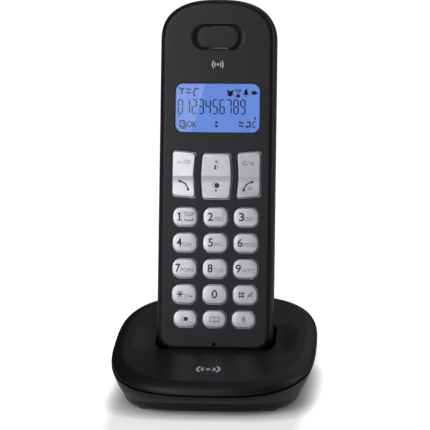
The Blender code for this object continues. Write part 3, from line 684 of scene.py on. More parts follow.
HANDSET_BLACK = satin_plastic()
BASE_BLACK = polished_plastic()
SILVER = silver_paint()
DARK_INK = ink("dark legend ink", (0.02, 0.02, 0.025))
GREY_INK = ink("grey legend ink", (0.17, 0.17, 0.185))
PALE_INK = ink("pale mark ink", (0.52, 0.54, 0.56))
LENS = clear_window()
BACKLIGHT = backlit_panel()
SEGMENT = crystal_ink()
RUBBER = soft_rubber()
NICKEL = brushed_metal("nickel plate", (0.68, 0.65, 0.60), 0.28, (1, 1, 0.1))
STEEL = brushed_metal("screw steel", (0.5, 0.5, 0.51), 0.35, (1, 0.1, 1))
BOARD = circuit_laminate()
CELL = cell_film()
SPEAKER = sintered_mesh()


# ---------------------------------------------------------------- keys and their legends

def small_keys():
    """Each small key: its name, centre, size and corner radius."""
    names = ["key_1", "key_2", "key_3", "key_4", "key_5", "key_6", "key_7", "key_8", "key_9",
             "key_star", "key_0", "key_hash", "key_redial", "key_phonebook", "key_recall"]
    for name in names:
        low, high = upright_box(name)
        middle, size = (low + high) / 2, high - low
        last = name in names[-3:]
        yield (name, middle.x, middle.z, size.x - 2 * KEY_FLANGE, size.z - 2 * KEY_FLANGE,
               LAST_KEY_CORNER if last else KEY_CORNER)


def key_outline(width, height, radius):
    """A small key's outline, to be drawn grown at a centre."""
    return lambda grow, x=0.0, z=0.0: rounded(width + 2 * grow, height + 2 * grow,
                                              max(radius + grow, 0.35 * MM), x, z)


def cap_edge(front):
    """The rounded edge of a key: stations (grow, depth) up to its top."""
    run = []
    for degrees in (0, 22, 45, 68, 90):
        turn = math.radians(degrees)
        run.append((-KEY_EDGE * (1 - math.cos(turn)), front - KEY_EDGE * math.sin(turn)))
    return run


def small_key(name, x, z, width, height, radius):
    """A silver key: flange, stem, rounded edge and a slightly crowned top."""
    outline = key_outline(width, height, radius)
    front = KEY_EDGE - KEY_HEIGHT
    stations = [(KEY_FLANGE, FLANGE_TOP + KEY_FLANGE), (KEY_FLANGE, FLANGE_TOP), (0, FLANGE_TOP)]
    stations += cap_edge(front)
    reach = height / 2 - 0.3 * MM
    for share in (0.2, 0.4, 0.6, 0.8, 1.0):
        grow = -KEY_EDGE - share * (reach - KEY_EDGE)
        stations.append((grow, -KEY_HEIGHT - KEY_CROWN * (1 - (1 - share) ** 2)))
    piece = stepped(name + "_cap", lambda grow: outline(grow, x, z), stations)
    return lean_back(piece)


DARK, GREY = 0, 1                    # which of a legend's two inks a mark has
BOLD = 0.018                         # how much the digits' outlines are thickened


def print_shape(outline, top, ink_index=DARK):
    """One inked shape on a surface at depth top."""
    piece = slab("mark", outline, top - PRINT, top - PRINT + INK)
    piece["ink"] = ink_index
    return piece


def print_line(points, width, top, ink_index=DARK):
    """An inked line of even width through points."""
    return print_shape(ribbon(points, width), top, ink_index)


def placed(x, z, points):
    """Points given in millimetres from a centre."""
    return [(x + u * MM, z + w * MM) for u, w in points]


def lettering(text, left, base, width, height, top, ink_index=DARK, bold=0.0):
    """Printed characters fitted to a width and height, their lower left corner given."""
    bpy.ops.object.select_all(action="DESELECT")
    bpy.ops.object.text_add()
    writing = bpy.context.object
    writing.data.body = text
    writing.data.size = 1.0
    writing.data.extrude = 0.05
    writing.data.offset = bold
    writing.data.resolution_u = 4
    bpy.ops.object.convert(target="MESH")
    piece = named(bpy.context.object, "lettering")
    xs = [vertex.co.x for vertex in piece.data.vertices]
    ys = [vertex.co.y for vertex in piece.data.vertices]
    low_x, low_y = min(xs), min(ys)
    across = width / (max(xs) - low_x)
    along = height / (max(ys) - low_y)
    for vertex in piece.data.vertices:
        x, y, z = vertex.co
        vertex.co = (left + (x - low_x) * across, top - PRINT if z > 0 else top - PRINT + INK,
                     base + (y - low_y) * along)
    edit(piece)
    bpy.ops.mesh.remove_doubles(threshold=0.0005 * MM)
    done(piece)
    piece["ink"] = ink_index
    return piece


def legend(name, body, marks, finishes=(DARK_INK, GREY_INK), place=HANDSET):
    """All marks of one sign as one piece that rides with its body, laid on a key where it curves."""
    for mark in marks:
        for finish in finishes:
            mark.data.materials.append(finish)
        for face in mark.data.polygons:
            face.material_index = mark["ink"]
    piece = joined(name, marks)
    del piece["ink"]
    if body in ROCKERS:
        x, z = rocker_centre(body)
        for vertex in piece.data.vertices:
            vertex.co.y -= rocker_rise(body, vertex.co.x - x, vertex.co.z - z)
    piece.data.transform(place)
    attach(piece, body)


NUMBER_LEGENDS = {
    # key: digit, its left and right edges, letters, their left and right edges, in millimetres
    "key_2": ("2", -3.2, -1.0, "ABC", -0.6, 3.5),
    "key_3": ("3", -2.95, -0.75, "DEF", -0.5, 3.0),
    "key_4": ("4", -3.35, -1.2, "GHI", -0.95, 2.75),
    "key_5": ("5", -2.9, -0.85, "JKL", -0.6, 3.0),
    "key_6": ("6", -3.35, -1.3, "MNO", -1.1, 3.9),
    "key_7": ("7", -3.75, -1.6, "PQRS", -1.55, 3.85),
    "key_8": ("8", -3.05, -0.87, "TUV", -0.5, 3.5),
    "key_9": ("9", -4.0, -1.75, "WXYZ", -1.45, 4.2),
    "key_0": ("0", -1.2, 1.2, "", 0, 0),
}
DIGIT_HEIGHT = 3.5 * MM
LETTER_HEIGHT = 1.75 * MM
BASELINE = -1.6 * MM


def ring_mark(radius, width, x, z, top, ink_index=DARK):
    """An inked ring."""
    return print_line(arc(radius, x, z, 90, 449.9, 32), width, top, ink_index)


def number_marks(name, x, z, top):
    """A digit with its letters beside it."""
    digit, left, right, letters, first, last = NUMBER_LEGENDS[name]
    marks = [lettering(digit, x + left * MM, z + BASELINE, (right - left) * MM, DIGIT_HEIGHT, top,
                       DARK, BOLD)]
    if letters:
        marks.append(lettering(letters, x + first * MM, z + BASELINE, (last - first) * MM,
                               LETTER_HEIGHT, top, GREY))
    return marks


def one_marks(x, z, top):
    """A bold one with a flag and a foot."""
    stem, foot = x - 2.3 * MM, z + BASELINE
    head, sole = foot + DIGIT_HEIGHT, foot + 0.22 * MM
    lines = [((stem, foot), (stem, head), 0.66 * MM),
             ((stem - 0.85 * MM, head - 0.85 * MM), (stem + 0.05 * MM, head - 0.3 * MM), 0.5 * MM),
             ((stem - 0.95 * MM, sole), (stem + 0.95 * MM, sole), 0.44 * MM)]
    return [print_line([start, end], width, top) for start, end, width in lines]


def message_marks(x, z, top):
    """Two loops of tape and a space bar, beside the one."""
    line = 0.28 * MM
    marks = [ring_mark(0.66 * MM, line, x + side * 1.15 * MM + 1.5 * MM, z + 1.3 * MM, top, GREY)
             for side in (-1, 1)]
    marks.append(print_line(placed(x, z, [(0.4, 0.65), (2.6, 0.65)]), line, top, GREY))
    bar = placed(x, z, [(-0.2, -0.7), (-0.2, -1.4), (3.1, -1.4), (3.1, -0.7)])
    return marks + [print_line(edge, 0.36 * MM, top) for edge in zip(bar, bar[1:])]


def star_marks(x, z, top):
    """A six-armed star and a small key."""
    star, reach = x - 1.7 * MM, 1.45 * MM
    marks = []
    for degrees in (0, 60, 120):
        dx, dz = reach * math.cos(math.radians(degrees)), reach * math.sin(math.radians(degrees))
        marks.append(print_line([(star - dx, z - dz), (star + dx, z + dz)], 0.42 * MM, top))
    marks.append(ring_mark(0.72 * MM, 0.22 * MM, x + 1.05 * MM, z - 0.7 * MM, top, GREY))
    marks.append(print_line(placed(x, z, [(1.75, -0.7), (3.4, -0.7)]), 0.26 * MM, top))
    marks.append(print_line(placed(x, z, [(3.1, -0.7), (3.1, -1.25)]), 0.4 * MM, top))
    return marks


def hash_marks(x, z, top):
    """A hash sign and a struck-out bell."""
    middle, reach, spread, width = x - 1.5 * MM, 1.45 * MM, 0.62 * MM, 0.4 * MM
    marks = []
    for side in (-1, 1):
        level, upright = z + side * spread, middle + side * spread
        marks.append(print_line([(middle - reach, level), (middle + reach, level)], width, top))
        marks.append(print_line([(upright, z - 1.35 * MM), (upright, z + 1.35 * MM)], width, top))
    bell = placed(x, z, [(1.25, -0.55), (1.5, 0.35), (2.1, 0.95), (2.7, 0.35), (2.95, -0.55)])
    marks.append(print_line(bell, 0.2 * MM, top, GREY))
    marks.append(print_line([bell[0], bell[-1]], 0.2 * MM, top, GREY))
    marks.append(print_line(placed(x, z, [(0.95, -1.15), (3.2, 1.1)]), 0.38 * MM, top))
    return marks


def redial_marks(x, z, top, radius=0.9 * MM):
    """A solid disc that follows an open one."""
    return [print_shape(circle(radius, x + 0.35 * MM, z, 24), top),
            ring_mark(radius * 0.9, 0.2 * MM, x - 0.75 * MM, z, top, GREY)]


def book_marks(x, z, top):
    """An open book in outline."""
    marks = []
    for side in (-1, 1):
        page = placed(x, z, [(0, 0.75), (side * 0.9, 1.05), (side * 1.9, 0.85), (side * 1.9, -1.05),
                             (side * 0.9, -0.85), (0, -1.1)])
        marks += [print_line(edge, 0.26 * MM, top) for edge in zip(page, page[1:])]
    marks.append(print_line(placed(x, z, [(0, -1.1), (0, 0.75)]), 0.24 * MM, top))
    return marks


def key_marks(name, x, z, top):
    """The print on a small key."""
    if name in NUMBER_LEGENDS:
        return number_marks(name, x, z, top)
    if name == "key_1":
        return one_marks(x, z, top) + message_marks(x, z, top)
    if name == "key_star":
        return star_marks(x, z, top)
    if name == "key_hash":
        return hash_marks(x, z, top)
    if name == "key_redial":
        return redial_marks(x, z, top)
    if name == "key_phonebook":
        return book_marks(x + 0.15 * MM, z, top)
    return [lettering("R", x - 0.4 * MM, z - 1.25 * MM, 1.5 * MM, 2.5 * MM, top)]


def make_small_keys():
    """The fifteen small keys, each with its legend."""
    for name, x, z, width, height, radius in small_keys():
        piece = smooth(small_key(name, x, z, width, height, radius), 50, False)
        put(piece, name, "silver_key", SILVER, name)
        legend(name + "_legend", name, key_marks(name, x, z, -KEY_HEIGHT - LEGEND_RISE))


def side_rocker(side, grow=0.0):
    """An outer long key's outline about its own centre; its inner side is hollow."""
    half = 4.8 * MM + grow
    corners = [(-half, 8.9 * MM + grow, 1.6 * MM), (-half + 0.8 * MM, 0, 4 * MM),
               (-half, -9.5 * MM - grow, 1.6 * MM), (half, -8.6 * MM - grow, 1.6 * MM),
               (half, 9.8 * MM + grow, 1.6 * MM)]
    return softened([(side * x, z, reach) for x, z, reach in corners])


def middle_rocker(grow=0.0):
    """The navigator's outline about its own centre; both sides bulge."""
    waist, end = 6.5 * MM + grow, 5.6 * MM + grow
    return softened([(end, 8.7 * MM + grow, 1.5 * MM), (-end, 8.7 * MM + grow, 1.5 * MM),
                     (-waist, -0.5 * MM, 5 * MM), (-end, -9.8 * MM - grow, 1.5 * MM),
                     (end, -9.8 * MM - grow, 1.5 * MM), (waist, -0.5 * MM, 5 * MM)])


ROCKERS = {"key_menu_talk": lambda grow=0.0: side_rocker(-1, grow),
           "key_navigator": middle_rocker,
           "key_clear_end": lambda grow=0.0: side_rocker(1, grow)}
ROCKER_TURN = {"key_menu_talk": 0.045, "key_navigator": 0.0, "key_clear_end": -0.022}
RIDGE = -0.6 * MM                    # where the ridge runs across a long key, from its centre,
RIDGE_RISE = 0.2 * MM                # how far it stands up,
RIDGE_SLOPE = 9.5 * MM               # and how far up the key it takes to die away
SCOOP = 0.95 * MM                    # depth of the scoop below the ridge
SCOOP_LENGTH = 9 * MM
STRIP = 0.75 * MM                    # height of the strips that a long key's top is bent in


def rocker_centre(name):
    """A long key's pivot, across and along the handset."""
    pivot = UPRIGHT @ Vector(JOINTS[name + "_tilt"]["pos_m"])
    return pivot.x, pivot.z


def rocker_rise(name, u, w):
    """How far a long key's top stands above its edge, at a place from its centre."""
    turned = ROCKER_TURN[name] * u
    if w > RIDGE:
        share = min(1, (w - RIDGE) / RIDGE_SLOPE)
        return turned + RIDGE_RISE * (1 - share) ** 2
    share = min(1, (RIDGE - w) / SCOOP_LENGTH)
    dip = math.sin(math.pi / 2 * min(1, share * 1.5)) * (1 - share * 0.75)
    return turned + RIDGE_RISE - SCOOP * dip


def make_rocker(name):
    """A long key with a ridge across its middle and a scoop below it."""
    x, z = rocker_centre(name)
    outline = ROCKERS[name]
    front = KEY_EDGE - KEY_HEIGHT
    stations = [(KEY_FLANGE, ROCKER_AXIS_DEPTH + KEY_FLANGE), (KEY_FLANGE, ROCKER_AXIS_DEPTH),
                (0, ROCKER_AXIS_DEPTH)] + cap_edge(front)
    piece = stepped(name + "_cap", lambda grow: [(x + u, z + w) for u, w in outline(grow)], stations)
    edit(piece)
    for k in range(-12, 13):
        level = RIDGE + k * STRIP
        bpy.ops.mesh.select_all(action="SELECT")
        bpy.ops.mesh.bisect(plane_co=(0, 0, z + level), plane_no=(0, 0, 1))
    done(piece)
    for vertex in piece.data.vertices:
        if vertex.co.y < front + 0.01 * MM:
            vertex.co.y -= rocker_rise(name, vertex.co.x - x, vertex.co.z - z)
    smooth(lean_back(piece), 8, False)
    put(piece, name, "silver_key", SILVER, name)


def receiver(x, z, side, top):
    """A telephone receiver seen from the side: a bowed bar with two cups."""
    (start_x, start_z), (end_x, end_z) = placed(x, z, [(-side * 1.75, 1.65), (side * 1.75, -1.75)])
    cup, bow = 0.55 * MM, []
    for k in range(13):
        t = k / 12
        lift = 0.85 * MM * math.sin(math.pi * t)
        bow.append((start_x + (end_x - start_x) * t + side * lift * 0.7,
                    start_z + (end_z - start_z) * t + lift * 0.7))
    return [print_line(bow, cup, top), print_shape(circle(cup, start_x, start_z, 16), top),
            print_shape(circle(cup, end_x, end_z, 16), top)]


def triangle(x, z, width, height):
    """An arrowhead on its base line, pointing up, or down with a negative height."""
    return [(x - width / 2, z), (x + width / 2, z), (x, z + height)]


def menu_talk_legends(top):
    """The menu lines over the sign for taking a call."""
    x, z = rocker_centre("key_menu_talk")
    marks = [lettering("/OK", x - 0.4 * MM, z + 4.4 * MM, 3.4 * MM, 1.7 * MM, top, GREY)]
    for k in range(2):
        level = z + (4.9 + 0.55 * k) * MM
        line = [(x - 2.7 * MM, level), (x - (1.0 + 0.5 * k) * MM, level)]
        marks.append(print_line(line, 0.22 * MM, top, GREY))
    legend("menu_marks", "key_menu_talk", marks)
    legend("talk_mark", "key_menu_talk", receiver(x + 0.1 * MM, z - 4.4 * MM, 1, top))


def navigator_legends(top):
    """The arrows up and down, with their small signs."""
    x, z = rocker_centre("key_navigator")
    marks = [print_shape(triangle(x, z + 5.0 * MM, 1.15 * MM, 1.1 * MM), top),
             print_shape(triangle(x - 0.35 * MM, z + 2.3 * MM, 1.3 * MM, 1.2 * MM), top),
             print_shape(circle(0.42 * MM, x - 0.35 * MM, z + 3.55 * MM, 14), top),
             print_line(arc(0.95 * MM, x - 0.2 * MM, z + 3.3 * MM, -40, 50, 8), 0.2 * MM, top, GREY)]
    legend("up_marks", "key_navigator", marks)
    marks = redial_marks(x, z - 4.4 * MM, top, 1.05 * MM)
    marks.append(print_shape(triangle(x, z - 6.1 * MM, 1.15 * MM, -1.1 * MM)[::-1], top))
    legend("down_marks", "key_navigator", marks)


def clear_end_legends(top):
    """The sign for clearing over the sign for ending a call."""
    x, z = rocker_centre("key_clear_end")
    marks = [lettering("C/", x - 2.4 * MM, z + 4.0 * MM, 2.5 * MM, 1.7 * MM, top),
             ring_mark(0.78 * MM, 0.2 * MM, x + 1.5 * MM, z + 4.75 * MM, top, GREY)]
    for side in (-1, 1):
        stroke = [(x + 1.1 * MM, z + (4.75 - side * 0.4) * MM),
                  (x + 1.9 * MM, z + (4.75 + side * 0.4) * MM)]
        marks.append(print_line(stroke, 0.2 * MM, top, GREY))
    legend("clear_marks", "key_clear_end", marks)
    marks = receiver(x - 0.2 * MM, z - 4.5 * MM, -1, top)
    marks.append(ring_mark(0.6 * MM, 0.25 * MM, x + 0.75 * MM, z - 5.5 * MM, top, GREY))
    legend("end_marks", "key_clear_end", marks)


def make_rocker_legends():
    """The print on all three long keys."""
    for print_legends in (menu_talk_legends, navigator_legends, clear_end_legends):
        print_legends(-KEY_HEIGHT)


# ---------------------------------------------------------------- handset

def node_plan(name):
    """A node's centre and size across the face, in upright coordinates."""
    low, high = upright_box(name)
    return (low.x + high.x) / 2, (low.z + high.z) / 2, high.x - low.x, high.z - low.z


WINDOW_X, WINDOW_Z, WINDOW_WIDTH, WINDOW_HEIGHT = node_plan("window_lens")
WINDOW_CORNER = 3 * MM
EAR_FLANGE = 1 * MM
EAR_X, EAR_Z, EAR_WIDTH, EAR_HEIGHT = node_plan("earpiece_grille")
EAR_WIDTH -= 2 * EAR_FLANGE
EAR_HEIGHT -= 2 * EAR_FLANGE
EAR_CORNER = 4.6 * MM
MOUTH_Z = -10.2 * MM                 # height of the hole over the microphone


def ear_outline(grow):
    """The outline of the pill over the earpiece."""
    return rounded(EAR_WIDTH + 2 * grow, EAR_HEIGHT + 2 * grow,
                   min(EAR_CORNER, EAR_HEIGHT / 2 - 0.05 * MM) + grow, EAR_X, EAR_Z)


def make_front_cover():
    """The key side of the casing: a hollow shell with a rounded edge, opened for the keys."""
    inner = [casing_ring(WALL, 4.4 * MM), casing_ring(2.3 * MM, 3.3 * MM),
             casing_ring(3.2 * MM, 2.5 * MM), casing_ring(6 * MM, WALL), casing_ring(PARTING, WALL)]
    outer = [casing_ring(PARTING, 0.25 * MM), casing_ring(PARTING - 0.1 * MM, 0.07 * MM),
             casing_ring(PARTING - 0.3 * MM, 0), casing_ring(8 * MM, 0)]
    for k in range(13):
        turn = math.pi / 2 * k / 12
        outer.append(casing_ring(EDGE_DEPTH * (1 - math.sin(turn)),
                                 EDGE_INSET * (1 - math.cos(turn))))
    cover = skin("front_casing", inner + outer)
    back = WALL + 1.5 * MM
    for name, x, z, width, height, radius in small_keys():
        outline = key_outline(width, height, radius)
        cut(cover, opening("key_hole", lambda grow: outline(grow + KEY_CLEARANCE, x, z), back))
    for name, outline in ROCKERS.items():
        x, z = rocker_centre(name)
        cut(cover, opening("rocker_hole", lambda grow: [
            (x + u, z + w) for u, w in outline(grow + KEY_CLEARANCE + 0.1 * MM)], back))
    cut(cover, opening("window_hole", lambda grow: rounded(
        WINDOW_WIDTH + 2 * (GAP + grow), WINDOW_HEIGHT + 2 * (GAP + grow), WINDOW_CORNER + grow,
        WINDOW_X, WINDOW_Z), back, 0.15 * MM))
    cut(cover, stepped("ear_recess", lambda grow: rounded(
        EAR_WIDTH + 2 * (0.5 * MM + grow * 2.1), EAR_HEIGHT + 2 * (0.35 * MM + grow * 0.35),
        EAR_HEIGHT / 2 + grow * 0.35, EAR_X, EAR_Z),
        [(0, 1.0 * MM), (0, 0.9 * MM), (0.25 * MM, 0.5 * MM), (0.6 * MM, 0.2 * MM),
         (0.95 * MM, 0.02 * MM), (1.0 * MM, -2 * MM)]))
    cut(cover, stepped("ear_hole", lambda grow: ear_outline(GAP + grow), [(0, back), (0, -1 * MM)]))
    mouth = node_plan("microphone")[0]
    cut(cover, stepped("microphone_hole", lambda grow: circle(0.6 * MM + grow, mouth, MOUTH_Z, 16),
                       [(0, 9 * MM), (0, 0.25 * MM), (0.1 * MM, 0.08 * MM), (0.35 * MM, 0),
                        (0.35 * MM, -2 * MM)]))
    smooth(lean_back(cover), 34)
    put(cover, "handset", "handset_plastic", HANDSET_BLACK, "handset_front_cover")


def make_earpiece():
    """The pill over the earpiece, with a slot above and below for the sound."""
    stations = [(EAR_FLANGE, FLANGE_TOP + 0.8 * MM), (EAR_FLANGE, FLANGE_TOP), (0, FLANGE_TOP)]
    rim = 0.5 * MM
    for degrees in (0, 22, 45, 68, 90):
        turn = math.radians(degrees)
        stations.append((-rim * (1 - math.cos(turn)), 0.05 * MM - rim * math.sin(turn)))
    for share in (0.3, 0.6, 0.9):
        stations.append((-rim - share * 3.2 * MM, -0.45 * MM - 0.06 * MM * share))
    pill = stepped("earpiece_pill", ear_outline, stations)
    for side in (-1, 1):
        level = EAR_Z + side * (EAR_HEIGHT / 2 - 0.35 * MM)
        cut(pill, slab("slot", rounded(9 * MM, 0.7 * MM, 0.34 * MM, EAR_X, level, 4), -3 * MM, 6 * MM))
    smooth(lean_back(pill), 40)
    put(pill, "handset", "handset_plastic", HANDSET_BLACK, "earpiece_grille")


def make_rear_cover():
    """The back of the casing, with the battery bay, the ringer's slots and the charge slots."""
    inner = [casing_ring(THICKNESS - WALL, 9.6 * MM), casing_ring(THICKNESS - 3 * MM, 6.4 * MM),
             casing_ring(THICKNESS - 6 * MM, 3.2 * MM), casing_ring(PARTING + GAP, WALL)]
    profile = [(PARTING + GAP + 0.3 * MM, 0.02 * MM), (PARTING + 3.4 * MM, 0.5 * MM),
               (THICKNESS - 4.8 * MM, 1.7 * MM), (THICKNESS - 2 * MM, 4 * MM),
               (THICKNESS - 0.6 * MM, 6.1 * MM), (THICKNESS, 8.3 * MM)]
    outer = [casing_ring(PARTING + GAP, 0.27 * MM), casing_ring(PARTING + GAP + 0.1 * MM, 0.08 * MM)]
    outer += [casing_ring(depth, inset) for depth, inset in eased_path(profile)]
    cover = skin("rear_casing", inner + outer)
    door_low, door_high = upright_box("battery_door")
    cells = node_plan("cell_left")[1]
    bay_low, bay_high = cells - BAY_HALF_LENGTH, cells + BAY_HALF_LENGTH
    cut(cover, block("tray", (-BAY_HALF_WIDTH - 2.9 * MM, BAY_FLOOR - BAY_WALL, bay_low - 1.2 * MM),
                     (BAY_HALF_WIDTH + 2.9 * MM, THICKNESS - MM, bay_high + 1.2 * MM)), "UNION")
    cut(cover, block("seat", (door_low.x - 1.5 * MM, THICKNESS - 4.2 * MM, door_low.z - 1.5 * MM),
                     (door_high.x + 1.5 * MM, THICKNESS - 0.9 * MM, door_high.z + 1.5 * MM)), "UNION")
    ledge = THICKNESS - 1.5 * MM - GAP
    screw_x, screw_z = node_plan("handset_screw_right")[:2]
    for side in (-1, 1):
        cut(cover, rod("pillar", (side * screw_x, 16.6 * MM, screw_z), SCREW_PILLAR, 13.8 * MM),
            "UNION")
    cut(cover, block("bay", (-BAY_HALF_WIDTH, BAY_FLOOR, bay_low),
                     (BAY_HALF_WIDTH, ledge + MM, bay_high)))
    centre, size = (door_low + door_high) / 2, door_high - door_low
    cut(cover, stepped("recess", lambda grow: rounded(
        size.x + 2 * (GAP + grow), size.z + 2 * (GAP + grow), 2.3 * MM + grow, centre.x, centre.z),
        [(0, ledge), (0, THICKNESS - 0.15 * MM), (0.12 * MM, THICKNESS),
         (0.12 * MM, THICKNESS + 5 * MM)]))
    ringer_z = node_plan("ringer_speaker")[1]
    for k in range(-2, 3):
        cut(cover, stepped("slot", lambda grow: rounded(
            14 * MM + 2 * grow, 1.2 * MM + 2 * grow, 0.59 * MM + grow, 0, ringer_z + k * 2.6 * MM, 5),
            [(0, THICKNESS - WALL - MM), (0, THICKNESS - 0.3 * MM), (0.25 * MM, THICKNESS),
             (0.25 * MM, THICKNESS + 2 * MM)]))
    plate_x, plate_depth, _ = middle_of(upright_box("charge_plate_right"))
    for side in (-1, 1):
        cut(cover, rod("screw_seat", (side * screw_x, ledge - 2.2 * MM + THROUGH / 2, screw_z),
                       2.6 * MM, THROUGH))
        cut(cover, rod("shank", (side * screw_x, ledge - 6 * MM, screw_z), 1.3 * MM, THROUGH))
        cut(cover, block("charge_slot",
                         (side * plate_x - 2.8 * MM, plate_depth - 1.8 * MM, BOTTOM - MM),
                         (side * plate_x + 2.8 * MM, plate_depth + 1.8 * MM, BOTTOM + 4.5 * MM)))
    smooth(lean_back(cover), 34)
    put(cover, "handset", "handset_plastic", HANDSET_BLACK, "handset_rear_cover")


def make_battery_door():
    """A flat door with a rounded rim and grip grooves near its top."""
    low, high = upright_box("battery_door")
    centre, size = (low + high) / 2, high - low
    rim = 0.45 * MM
    stations = [(0, low.y), (0, high.y - rim)]
    for degrees in (30, 60, 90):
        turn = math.radians(degrees)
        stations.append((-rim * (1 - math.cos(turn)), high.y - rim * (1 - math.sin(turn))))
    door = stepped("battery_door_panel", lambda grow: rounded(
        size.x + 2 * grow, size.z + 2 * grow, 2 * MM + grow, centre.x, centre.z), stations)
    for k in range(4):
        width = (13 - 2.4 * k) * MM
        z = high.z - (4.2 + 2.1 * k) * MM
        cut(door, stepped("grip", lambda grow: rounded(
            width + 2 * grow, 0.8 * MM + 2 * grow, 0.39 * MM + grow, centre.x, z, 5),
            [(0, high.y - 0.6 * MM), (0, high.y - 0.25 * MM), (0.2 * MM, high.y),
             (0.2 * MM, high.y + MM)]))
    smooth(lean_back(door), 40)
    put(door, "battery_door", "handset_plastic", HANDSET_BLACK, "battery_door")


# ---------------------------------------------------------------- display

GLASS = 0.25 * MM                    # thickness of the display's glass
LINE = 0.50 * MM                     # width of the display's drawn lines
FINE_LINE = 0.26 * MM


def make_window():
    """The clear window, its front edge broken, set in the cover."""
    low, high = upright_box("window_lens")
    rim = 0.2 * MM
    lens = stepped("clear_lens", lambda grow: rounded(
        WINDOW_WIDTH + 2 * grow, WINDOW_HEIGHT + 2 * grow, WINDOW_CORNER + grow, WINDOW_X, WINDOW_Z),
        [(0, high.y), (0, low.y + rim), (-0.06 * MM, low.y + 0.06 * MM), (-rim, low.y)])
    smooth(lean_back(lens), 40)
    put(lens, "handset", "window", LENS, "window_lens")


def make_display():
    """The display: a framed module whose backlit glass sits just behind the window."""
    low, high = upright_box("display_module")
    centre, size = (low + high) / 2, high - low
    module = stepped("display_body", lambda grow: rounded(
        size.x + 2 * grow, size.z + 2 * grow, 1 * MM + grow, centre.x, centre.z, 4),
        [(0, high.y), (0, low.y + 0.2 * MM), (-0.2 * MM, low.y)])
    smooth(lean_back(module), 40)
    put(module, "handset", "display", HANDSET_BLACK, "display_module")
    front = low.y - GLASS
    glass = stepped("backlit_glass", lambda grow: rounded(
        WINDOW_WIDTH + 0.2 * MM + 2 * grow, WINDOW_HEIGHT + 0.2 * MM + 2 * grow,
        WINDOW_CORNER + grow, WINDOW_X, WINDOW_Z),
        [(0, low.y + 0.02 * MM), (0, low.y - 0.20 * MM), (-0.05 * MM, front)])
    smooth(lean_back(glass), 40)
    put(glass, "handset", "display", BACKLIGHT)
    crystal_marks(front)


DIGIT_STROKES = {"0": "abcdef", "1": "bc", "2": "abged", "3": "abgcd", "4": "fgbc", "5": "afgcd",
                 "6": "afgedc", "7": "abc", "8": "abcdefg", "9": "abcdfg"}


def spot(across, down):
    """A place on the display, in hundredths of the window across and down."""
    return (WINDOW_X + (across / 100 - 0.5) * WINDOW_WIDTH,
            WINDOW_Z + (0.5 - down / 100) * WINDOW_HEIGHT)


def spots(*places):
    """Several places on the display."""
    return [spot(across, down) for across, down in places]


def strokes(points, width=LINE, closed=False):
    """Straight lines from point to point, each an outline of its own."""
    ends = points[1:] + points[:1] if closed else points[1:]
    return [ribbon([start, end], width) for start, end in zip(points, ends)]


def crystal_digit(character, x, z, width, height):
    """Seven straight segments, mitred where they meet."""
    half_w, half_h = width / 2, height / 2
    short = 0.12 * MM
    runs = {"a": ((-half_w, half_h), (half_w, half_h)), "b": ((half_w, half_h), (half_w, 0)),
            "c": ((half_w, 0), (half_w, -half_h)), "d": ((half_w, -half_h), (-half_w, -half_h)),
            "e": ((-half_w, -half_h), (-half_w, 0)), "f": ((-half_w, 0), (-half_w, half_h)),
            "g": ((-half_w, 0), (half_w, 0))}
    shapes = []
    for stroke in DIGIT_STROKES[character]:
        start, end = (Vector(point) for point in runs[stroke])
        along = (end - start).normalized() * short
        aside = Vector((-along.y, along.x)).normalized() * LINE * 0.5
        start, end = start + along, end - along
        tip = along.normalized() * LINE * 0.4
        shapes.append([(x + p.x, z + p.y) for p in (start, start + tip + aside, end - tip + aside, end,
                                                    end - tip - aside, start + tip - aside)])
    return shapes


def digit_row():
    """The row of ten digits."""
    first, last = spot(5.5, 0)[0], spot(80.5, 0)[0]
    level = spot(0, 47.5)[1]
    shapes = []
    for k, character in enumerate("0123456789"):
        shapes += crystal_digit(character, first + (last - first) * k / 9, level, 1.75 * MM,
                                0.29 * WINDOW_HEIGHT)
    return shapes


def signal_signs():
    """An aerial, two waves and a receiver, at the upper left."""
    shapes = strokes(spots((4, 8), (7, 14), (10, 8))) + strokes(spots((7, 8), (7, 22)))
    for down in (12, 19):
        shapes += strokes(spots((12.5, down), (14, down - 2.5), (16, down + 1), (17.8, down - 1.5)))
    handle = spots((25, 8.5), (22.4, 12), (21, 18), (21.4, 24))
    return (shapes + strokes(handle, LINE * 1.2) + strokes(spots((25, 8.5), (26.2, 11)), LINE * 1.7)
            + strokes(spots((21.4, 24), (23.4, 24.5)), LINE * 1.7))


def alarm_sign():
    """A round clock with two bells."""
    x, z = spot(65, 20)
    return [circle(1.15 * MM, x, z, 20)] + [
        circle(0.42 * MM, x + side * 0.95 * MM, z + 1.15 * MM, 12) for side in (-1, 1)]


def message_sign():
    """Two loops of tape over a line."""
    loops = [ribbon(arc(0.42 * MM, *spot(across, 13), 90, 449.9, 16), FINE_LINE)
             for across in (72.5, 76.5)]
    return loops + strokes(spots((72.5, 16.3), (76.5, 16.3)), FINE_LINE)


def lock_sign():
    """A padlock."""
    x, z = spot(74.5, 25)
    return [rounded(1.5 * MM, 1.1 * MM, 0.2 * MM, x, z, 2),
            ribbon(arc(0.45 * MM, x, z + 0.55 * MM, 0, 180, 10), 0.24 * MM)]


def bell_sign():
    """A bell with its clapper."""
    bell = spots((80.5, 22), (87.5, 22), (86, 18), (85.5, 12), (84, 10), (82.5, 12), (82, 18))
    return [bell[::-1], circle(0.3 * MM, *spot(84, 25), 10)]


def battery_sign():
    """A full cell at the upper right."""
    return [rounded(1.9 * MM, 1.5 * MM, 0.2 * MM, *spot(93.5, 18), 2),
            rounded(0.7 * MM, 0.8 * MM, 0.1 * MM, *spot(96.8, 18), 2)]


def side_arrows():
    """An arrowhead at each end of the row under the digits."""
    return [spots((2.2, 66), (4.4, 62), (4.4, 70)), spots((96.8, 71), (94.6, 67), (94.6, 75))]


